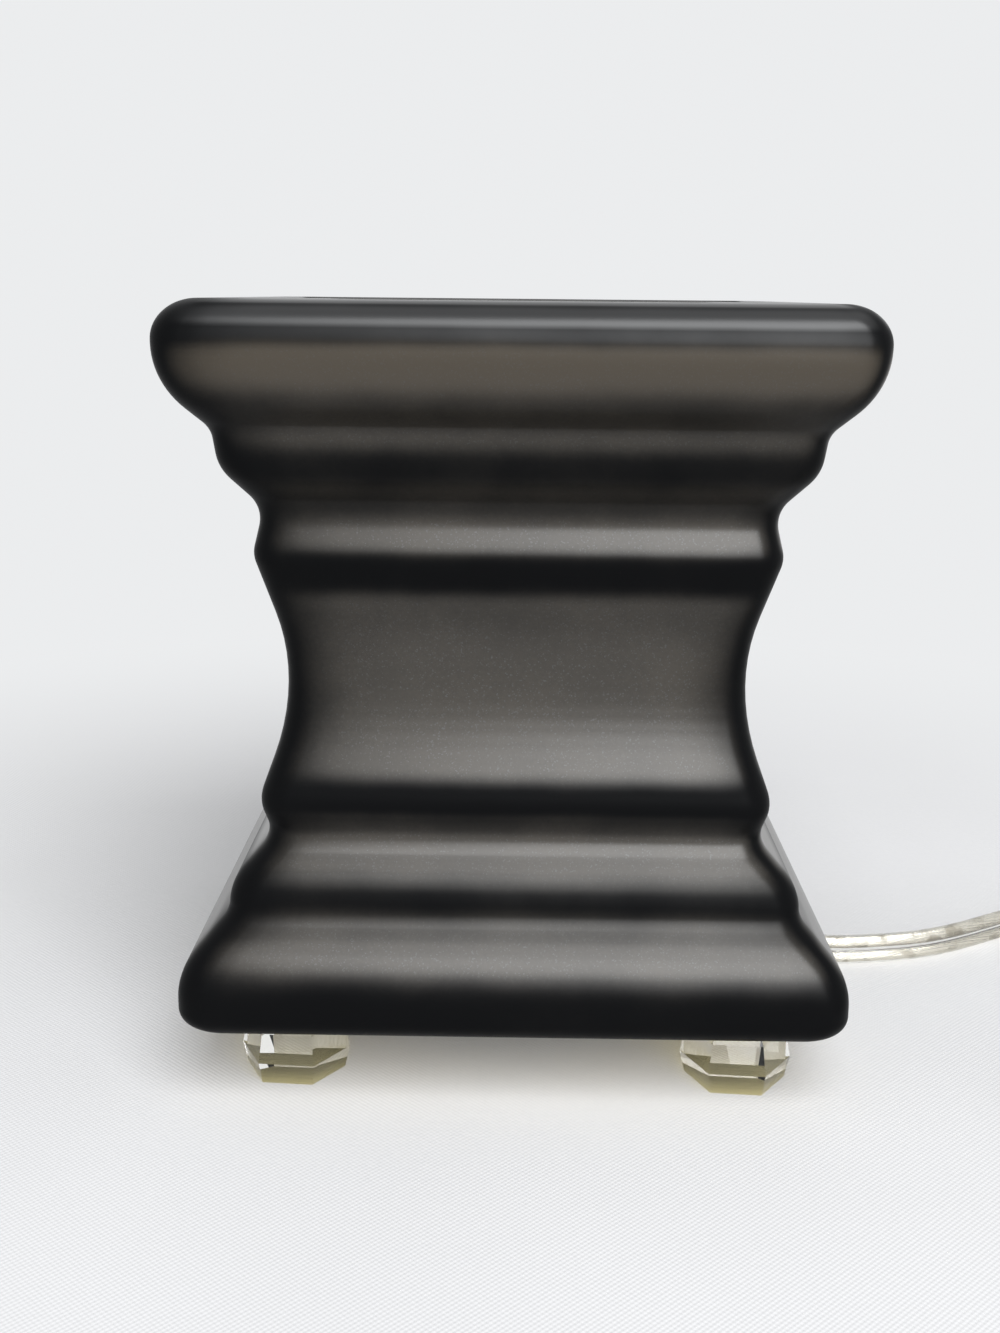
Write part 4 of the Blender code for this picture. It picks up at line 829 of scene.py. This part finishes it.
def closely_spaced(outline, spacing):
    """The outline with points added, so that neighbours are at most a spacing apart."""
    made = [outline[0]]
    for (h1, z1), (h2, z2) in zip(outline, outline[1:]):
        count = math.ceil(math.hypot(h2 - h1, z2 - z1) / spacing)
        made += [(h1 + (h2 - h1) * k / count, z1 + (z2 - z1) * k / count) for k in range(1, count + 1)]
    return made


def band_share(height, middle, half, strength, sharpness):
    """How much of a band lies on a height, from 0 to its strength; the black bands with their painted shade,
    the shine and the painted warm reflection all use it.
    """
    return strength * math.exp(-BAND_FALLOFF * (abs(height - middle) / half) ** sharpness)


def unpainted_unshaded_share(height):
    """How much of the bronze the black bands, airbrushed black with painted shade, leave open at a height
    over the middle line.
    """
    return math.prod(1.0 - band_share(height, *band) for band in BLACK_PAINT_AND_SHADE_BANDS)


class WARMER_OT_body(bpy.types.Operator):
    """Models the moulded ceramic body with its airbrushed ridges, painted shade on its downward-facing bands
    and a painted warm reflection under the crown
    """

    bl_idname = "warmer.body"
    bl_label = "Ceramic Body"

    def execute(self, context):
        sizes = context.scene.warmer_sizes
        outside, ledge, inside = moulding_outline(sizes.round_step)
        outside = closely_spaced(outside, RING_SPACING)
        rings = [square_ring(h, sizes.plan_radius, z, sizes.corner_steps) for h, z in outside]
        rings += [square_ring(h, sizes.plan_radius, z, sizes.corner_steps) for h, z in ledge]
        rings += [square_ring(h, INNER_PLAN_RADIUS, z, sizes.corner_steps) for h, z in reversed(inside)]
        bm = bmesh.new()
        lofted(bm, rings)
        body = piece("ceramic_body", bm, glaze_finish(context.scene.warmer_colours))
        cut_rods(body, [(0, 0)], BASE_OPENING_RADIUS, 0.0, BODY_BOTTOM + 2 * FLOOR_THICK)
        spots = [
            (SCREW_CIRCLE * math.cos(a), SCREW_CIRCLE * math.sin(a))
            for a in (math.pi / 2 + 2 * math.pi * k / 3 for k in range(3))
        ]
        cut_rods(body, spots, ANCHOR_HOLE_RADIUS, 0.0, BODY_BOTTOM + 2 * FLOOR_THICK)
        self.paint_black_shade_and_reflection(body, sizes)
        body.data.materials.append(bare_finish())
        for face in body.data.polygons:
            if face.normal.z < FACING_DOWN and face.center.z < BODY_BOTTOM + SEAT_GAP:
                face.material_index = 1
        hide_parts("body_shell")
        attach(body, "housing")
        return {"FINISHED"}

    def paint_black_shade_and_reflection(self, body, sizes):
        """Keeps on each point how open its face is (0 for airbrushed black and painted shade), how much
        painted warm reflection it takes, and how much it shines.
        """
        open_unshaded_face = body.data.attributes.new("open_unshaded_face", "FLOAT", "POINT")
        warm_reflection_face = body.data.attributes.new("warm_reflection_face", "FLOAT", "POINT")
        shine = body.data.attributes.new("shine", "FLOAT", "POINT")
        for point in body.data.vertices:
            x, y, z = point.co
            height = z - MIDDLE_Z
            # Black along the upright corners: airbrushed black, widened at the front-left corner by painted
            # shade.
            reach, at_waist = EDGE_BLACK_AND_SHADE_REACH[(1 if x > 0 else -1, 1 if y > 0 else -1)]
            reach += at_waist * math.exp(-(((height - WAIST_HEIGHT) / WAIST_SPAN) ** 2))
            inward = abs(abs(x) - abs(y)) / (sizes.black_edge * reach)
            corner = 1.0 - math.exp(-(inward**EDGE_SOFTNESS))
            # Black of the bands and corners: airbrushed black, with painted shade on the downward-facing
            # bands.
            bronze = unpainted_unshaded_share(height) * corner
            open_unshaded_face.data[point.index].value = bronze
            # Painted warm reflection under the crown.
            warm_reflection_face.data[point.index].value = band_share(height, *WARM_REFLECTION_BAND)
            burnish = max(band_share(height, *band) for band in TOP_SHINE)
            shine.data[point.index].value = max(bronze, burnish * corner)


class WARMER_OT_dish(bpy.types.Operator):
    """Models the wax dish nested in the top of the body"""

    bl_idname = "warmer.dish"
    bl_label = "Wax Dish"

    def execute(self, context):
        sizes = context.scene.warmer_sizes
        rim = REBATE_HALF - DISH_CLEAR
        bowl = LEDGE_HALF - DISH_CLEAR
        under = LEDGE_Z + SEAT_GAP
        bend = DISH_BOTTOM + DISH_BEND_RISE
        inner_foot = DISH_FOOT_HALF - DISH_WALL
        outline = [
            (DISH_FOOT_HALF / 2, DISH_BOTTOM, 0.0),
            (DISH_FOOT_HALF, DISH_BOTTOM, DISH_FOOT_RADIUS),
            (bowl, bend, DISH_BEND_RADIUS),
            (bowl, under, DISH_LIP_ROUND),
            (rim, under, DISH_LIP_ROUND),
            (rim, DISH_TOP, DISH_RIM_ROUND),
            (bowl - DISH_WALL + DISH_MOUTH_LEAN, DISH_TOP, DISH_RIM_ROUND),
            (bowl - DISH_WALL, bend + DISH_FLOOR_LIFT, DISH_BEND_RADIUS),
            (inner_foot, DISH_BOTTOM + DISH_WALL, DISH_BEND_RADIUS),
            (inner_foot / 2, DISH_BOTTOM + DISH_WALL, 0.0),
        ]
        radius = sizes.plan_radius - DISH_CLEAR
        steps = sizes.corner_steps
        bm = bmesh.new()
        outline = rounded(outline, sizes.round_step * DISH_COARSENESS)
        lofted(bm, [square_ring(h, radius, z, steps) for h, z in outline])
        dish = piece("glazed_dish", bm, dish_finish(context.scene.warmer_colours))
        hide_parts("wax_dish")
        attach(dish, "dish")
        return {"FINISHED"}


class WARMER_OT_feet(bpy.types.Operator):
    """Gives the crystal feet polished facet edges and their clear material"""

    bl_idname = "warmer.feet"
    bl_label = "Crystal Feet"

    def execute(self, context):
        sizes = context.scene.warmer_sizes
        crystal = crystal_finish()
        glue = glue_finish(context.scene.warmer_colours)
        for corner in ("front_left", "front_right", "rear_left", "rear_right"):
            dress(crystal, "foot_" + corner)
            softened(sizes.foot_bevel, "foot_" + corner)
            dress(glue, "foot_glue_" + corner)
        return {"FINISHED"}


# Metal, socket and bulb


class WARMER_OT_base(bpy.types.Operator):
    """Finishes the bottom plate, its screws and the strap that carries the socket"""

    bl_idname = "warmer.base"
    bl_label = "Base Plate"

    def execute(self, context):
        steel = metal_finish("plated_steel", (0.60, 0.60, 0.58), 0.34, (1.0, 0.04, 1.0))
        zinc = metal_finish("zinc_plate", (0.66, 0.66, 0.63), 0.30)
        nylon = moulded_finish("white_nylon", (0.80, 0.79, 0.74), 0.45)
        dress(steel, "base_plate", "socket_strap")
        dress(zinc, "strap_rivet_1", "strap_rivet_2", "socket_screw")
        for number in (1, 2, 3):
            dress(zinc, f"base_screw_{number}")
            dress(nylon, f"screw_anchor_{number}")
        softened(STEEL_EDGE, "base_plate", "socket_strap")
        return {"FINISHED"}


class WARMER_OT_socket(bpy.types.Operator):
    """Finishes the phenolic socket, its brass parts and the two wires inside"""

    bl_idname = "warmer.socket"
    bl_label = "Lamp Socket"

    def execute(self, context):
        phenolic = moulded_finish("black_phenolic", (0.030, 0.028, 0.026), 0.40)
        brass = metal_finish("socket_brass", (0.78, 0.60, 0.30), 0.28)
        dress(phenolic, "lamp_socket")
        dress(brass, "socket_sleeve", "socket_contact")
        dress(moulded_finish("black_wire_cover", (0.035, 0.033, 0.032), 0.42), "inner_lead_live")
        dress(moulded_finish("white_wire_cover", (0.78, 0.77, 0.73), 0.42), "inner_lead_neutral")
        return {"FINISHED"}


class WARMER_OT_bulb(bpy.types.Operator):
    """Finishes the globe bulb from its tip to its filament"""

    bl_idname = "warmer.bulb"
    bl_label = "Globe Bulb"

    def execute(self, context):
        brass = metal_finish("cap_brass", (0.80, 0.63, 0.33), 0.24)
        tungsten = metal_finish("tungsten_wire", (0.35, 0.34, 0.33), 0.35)
        dress(glass_finish("globe_glass", (0.98, 0.98, 0.98)), "bulb_glass")
        dress(glass_finish("stem_glass", (0.97, 0.98, 0.97)), "bulb_stem")
        dress(brass, "bulb_cap", "bulb_tip")
        dress(moulded_finish("fused_glass", (0.02, 0.02, 0.02), 0.15), "bulb_insulator")
        dress(tungsten, "bulb_filament", "bulb_wire_1", "bulb_wire_2")
        return {"FINISHED"}


# Lead


def lead_route():
    """The lead's points from the strain relief to the inline switch."""
    entry = SWITCH_Y + SWITCH_LENGTH / 2 + SEAT_GAP
    return [
        (BOOT_END_X + SEAT_GAP, BUSHING_Y, BOOT_AXIS_Z),
        (BOOT_END_X + CORD_STRAIGHT, BUSHING_Y, BOOT_AXIS_Z),
        (0.0610, 0.0078, 0.0059),
        (0.0690, 0.0088, 0.0042),
        (0.0765, 0.0099, CORD_Z),
        (0.0836, 0.0108, CORD_Z),
        (0.0910, 0.0123, CORD_Z),
        (0.0985, 0.0149, CORD_Z),
        (0.1064, 0.0191, CORD_Z),
        (0.1181, 0.0266, CORD_Z),
        (0.1300, 0.0337, CORD_Z),
        (0.1450, 0.0408, CORD_Z),
        (0.1650, 0.0472, CORD_Z),
        (0.1880, 0.0505, CORD_Z),
        (0.2100, 0.0507, CORD_Z),
        (0.2300, 0.0480, 0.0042),
        (0.2460, 0.0420, 0.0058),
        (0.2570, 0.0330, 0.0074),
        (SWITCH_X, entry + CORD_STRAIGHT, SWITCH_AXIS_Z),
        (SWITCH_X, entry, SWITCH_AXIS_Z),
    ]


def run_route():
    """The lead's points from the switch to the coil."""
    entry = SWITCH_Y - SWITCH_LENGTH / 2 - SEAT_GAP
    level = COIL_Y - COIL_OUTER_RADIUS
    return [
        (SWITCH_X, entry, SWITCH_AXIS_Z),
        (SWITCH_X, entry - CORD_STRAIGHT, SWITCH_AXIS_Z),
        (0.2570, entry - 0.0180, 0.0062),
        (0.2465, entry - 0.0268, 0.0044),
        (0.2330, level + 0.0002, CORD_Z),
        (COIL_X + 2 * COIL_LEAD_IN, level, CORD_Z),
        (COIL_X + COIL_LEAD_IN, level, CORD_Z),
    ]


def tail_route():
    """The lead's points from the coil to the plug."""
    level = COIL_Y - COIL_OUTER_RADIUS
    top = CORD_Z + COIL_LAYER_STEP
    return [
        (COIL_X - COIL_LEAD_IN, level, top),
        (COIL_X - 2 * COIL_LEAD_IN, level, top),
        (0.1730, level, 0.0092),
        (PLUG_REAR_X + SEAT_GAP + CORD_STRAIGHT, level, PLUG_AXIS_Z),
        (PLUG_REAR_X + SEAT_GAP, level, PLUG_AXIS_Z),
    ]


def coil_route():
    """Two layers of loops: in along the table, up a layer, and out again above, clockwise."""
    total = 2 * COIL_TURNS_A_LAYER + COIL_CLIMB_TURNS
    middle = total / 2
    count = round(total * COIL_STEPS_A_TURN)
    points = []
    for k in range(count + 1):
        turns = total * k / count
        radius = COIL_OUTER_RADIUS - COIL_SIDE_STEP * (middle - abs(turns - middle))
        climb = min(1.0, max(0.0, (turns - COIL_TURNS_A_LAYER) / COIL_CLIMB_TURNS))
        z = CORD_Z + COIL_LAYER_STEP * climb * climb * (3 - 2 * climb)
        angle = -math.pi / 2 - 2 * math.pi * turns
        points.append(Vector((COIL_X + radius * math.cos(angle), COIL_Y + radius * math.sin(angle), z)))
    return points


class WARMER_OT_lead(bpy.types.Operator):
    """Models the clear flat twin lead and the strands inside it, from the strain relief to the plug"""

    bl_idname = "warmer.lead"
    bl_label = "Flat Lead"

    def execute(self, context):
        sizes = context.scene.warmer_sizes
        cover = cover_finish()
        strands = strand_finish()
        rubber = moulded_finish("black_rubber", (0.028, 0.028, 0.028), 0.55)
        dress(rubber, "lead_bushing")
        first = smooth_route(lead_route())
        second = smooth_route(run_route()) + coil_route() + smooth_route(tail_route())
        switch = ("switch_lower", "switch_upper", "switch_wheel", "switch_pin", "switch_screw")
        plug = ("plug_body", "plug_blade_1", "plug_blade_2")
        self.lay(sizes, "clear_lead", first, cover, strands, ("cord_lead",), "fitting", switch)
        far = ("cord_run", "cord_coil", "cord_tail")
        self.lay(sizes, "clear_lead_far", second, cover, strands, far, "plug", plug)
        return {"FINISHED"}

    def lay(self, sizes, name, path, cover, strands, nodes, far_end, pieces):
        """One stretch of the lead, with its cover and its two bundles of strands."""
        bm = bmesh.new()
        swept(bm, path, twin_section(sizes.cord_width, CORD_THICK))
        lead = piece(name, bm, cover, 50.0)
        rise = (sizes.cord_width - CORD_THICK) / 2
        for side, tag in ((1, "upper"), (-1, "lower")):
            bm = bmesh.new()
            angles = [2 * math.pi * k / BUNDLE_SIDES for k in range(BUNDLE_SIDES)]
            radius = sizes.strand_radius
            section = [(radius * math.cos(a), radius * math.sin(a) + side * rise) for a in angles]
            swept(bm, path, section, "lay")
            bundle = piece(f"{name}_strands_{tag}", bm, strands, 60.0)
            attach(bundle, "housing")
        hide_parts(*nodes)
        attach(lead, "housing")
        path_length(path)


class WARMER_OT_switch(bpy.types.Operator):
    """Finishes the inline switch and its ridged wheel"""

    bl_idname = "warmer.switch"
    bl_label = "Inline Switch"

    def execute(self, context):
        housing = moulded_finish("switch_plastic", (0.035, 0.034, 0.033), 0.42)
        dress(housing, "switch_lower", "switch_upper", "switch_wheel")
        zinc = metal_finish("switch_zinc", (0.66, 0.66, 0.63), 0.30)
        dress(zinc, "switch_pin", "switch_screw")
        softened(SWITCH_EDGE, "switch_lower", "switch_upper")
        return {"FINISHED"}


class WARMER_OT_plug(bpy.types.Operator):
    """Finishes the plug and its two brass blades"""

    bl_idname = "warmer.plug"
    bl_label = "Plug"

    def execute(self, context):
        dress(moulded_finish("plug_vinyl", (0.030, 0.030, 0.030), 0.50), "plug_body")
        blades = metal_finish("blade_brass", (0.80, 0.65, 0.38), 0.26, (0.05, 1.0, 1.0))
        dress(blades, "plug_blade_1", "plug_blade_2")
        softened(PLUG_EDGE, "plug_body")
        softened(BLADE_EDGE, "plug_blade_1", "plug_blade_2")
        return {"FINISHED"}


# Studio


class WARMER_OT_stage(bpy.types.Operator):
    """Lays the cloth and sets the soft lights"""

    bl_idname = "warmer.stage"
    bl_label = "Stage"

    def execute(self, context):
        scene = context.scene
        scene.view_settings.view_transform = "Standard"
        self.sky(scene)
        self.key_light(scene)
        self.cloth(cloth_finish(scene.warmer_colours))
        return {"FINISHED"}

    def sky(self, scene):
        """A pale surround that shows as the backdrop and lights more softly than it looks."""
        world = bpy.data.worlds.new("studio")
        scene.world = world
        world.use_nodes = True
        background = world.node_tree.nodes["Background"]
        background.inputs["Color"].default_value = (*scene.warmer_colours.backdrop, 1.0)
        made = Graph(world.node_tree)
        clear = made.math("MAXIMUM", made.ray("Is Glossy Ray"), made.ray("Is Transmission Ray"))
        seen = made.math("MAXIMUM", made.ray("Is Camera Ray"), clear)
        strength = SKY_STRENGTH + seen * (1 - SKY_STRENGTH)
        made.tree.links.new(strength.socket, background.inputs["Strength"])

    def key_light(self, scene):
        """A large soft panel, which the camera doesn't see."""
        light = bpy.data.lights.new("key_light", "AREA")
        light.shape = "RECTANGLE"
        light.size = PANEL_WIDTH
        light.size_y = PANEL_HEIGHT
        light.energy = math.pi * PANEL_RADIANCE * PANEL_WIDTH * PANEL_HEIGHT
        light.color = PANEL_COLOUR
        lamp = bpy.data.objects.new("key_light", light)
        turn = Matrix.Rotation(PANEL_TURN, 4, "Z") @ Matrix.Rotation(math.pi / 2 - PANEL_RISE, 4, "X")
        lamp.matrix_world = Matrix.Translation(PANEL_AIM) @ turn @ Matrix.Translation((0, 0, PANEL_DISTANCE))
        lamp.visible_camera = False
        scene.collection.objects.link(lamp)

    def cloth(self, finish):
        """The cloth on the table."""
        bm = bmesh.new()
        bmesh.ops.create_grid(bm, x_segments=8, y_segments=8, size=CLOTH_HALF)
        return piece("cloth_floor", bm, finish, 60.0)


class WARMER_OT_camera(bpy.types.Operator):
    """Sets the camera at the photograph's viewpoint"""

    bl_idname = "warmer.camera"
    bl_label = "Camera"

    def execute(self, context):
        lens = bpy.data.cameras.new("photo_camera")
        lens.sensor_fit = "VERTICAL"
        lens.sensor_height = SENSOR_HEIGHT
        lens.lens = SENSOR_HEIGHT * FOCAL_PIXELS / FRAME_HEIGHT_PIXELS
        lens.clip_start = 0.01
        camera = bpy.data.objects.new("photo_camera", lens)
        turn = Matrix.Rotation(CAMERA_YAW, 4, "Z")
        turn @= Matrix.Rotation(math.pi / 2 - CAMERA_PITCH, 4, "X")
        turn @= Matrix.Rotation(CAMERA_ROLL, 4, "Z")
        camera.matrix_world = Matrix.Translation(CAMERA_PLACE) @ turn
        context.scene.collection.objects.link(camera)
        context.scene.camera = camera
        return {"FINISHED"}


OPERATORS = (
    WARMER_OT_camera,
    WARMER_OT_lead,
    WARMER_OT_body,
    WARMER_OT_dish,
    WARMER_OT_feet,
    WARMER_OT_base,
    WARMER_OT_socket,
    WARMER_OT_bulb,
    WARMER_OT_switch,
    WARMER_OT_plug,
    WARMER_OT_stage,
)


class WARMER_PT_sidebar(bpy.types.Panel):
    """Lists the warmer's pieces, sizes and colours"""

    bl_label = "Wax Warmer"
    bl_idname = "WARMER_PT_sidebar"
    bl_space_type = "VIEW_3D"
    bl_region_type = "UI"
    bl_category = "Wax Warmer"

    def draw(self, context):
        for group in (context.scene.warmer_sizes, context.scene.warmer_colours):
            box = self.layout.box()
            for name in group.bl_rna.properties.keys():
                if name not in {"rna_type", "name"}:
                    box.prop(group, name)
        for operator in OPERATORS:
            self.layout.operator(operator.bl_idname)


CLASSES = (WarmerSizes, WarmerColours, *OPERATORS, WARMER_PT_sidebar)


def register():
    for each in CLASSES:
        bpy.utils.register_class(each)
    bpy.types.Scene.warmer_sizes = PointerProperty(type=WarmerSizes)
    bpy.types.Scene.warmer_colours = PointerProperty(type=WarmerColours)


def unregister():
    del bpy.types.Scene.warmer_colours
    del bpy.types.Scene.warmer_sizes
    for each in reversed(CLASSES):
        bpy.utils.unregister_class(each)


def main():
    """Runs every operator."""
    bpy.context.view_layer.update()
    register()
    for operator in OPERATORS:
        group, name = operator.bl_idname.split(".")
        getattr(getattr(bpy.ops, group), name)()


if __name__ == "__main__":
    main()
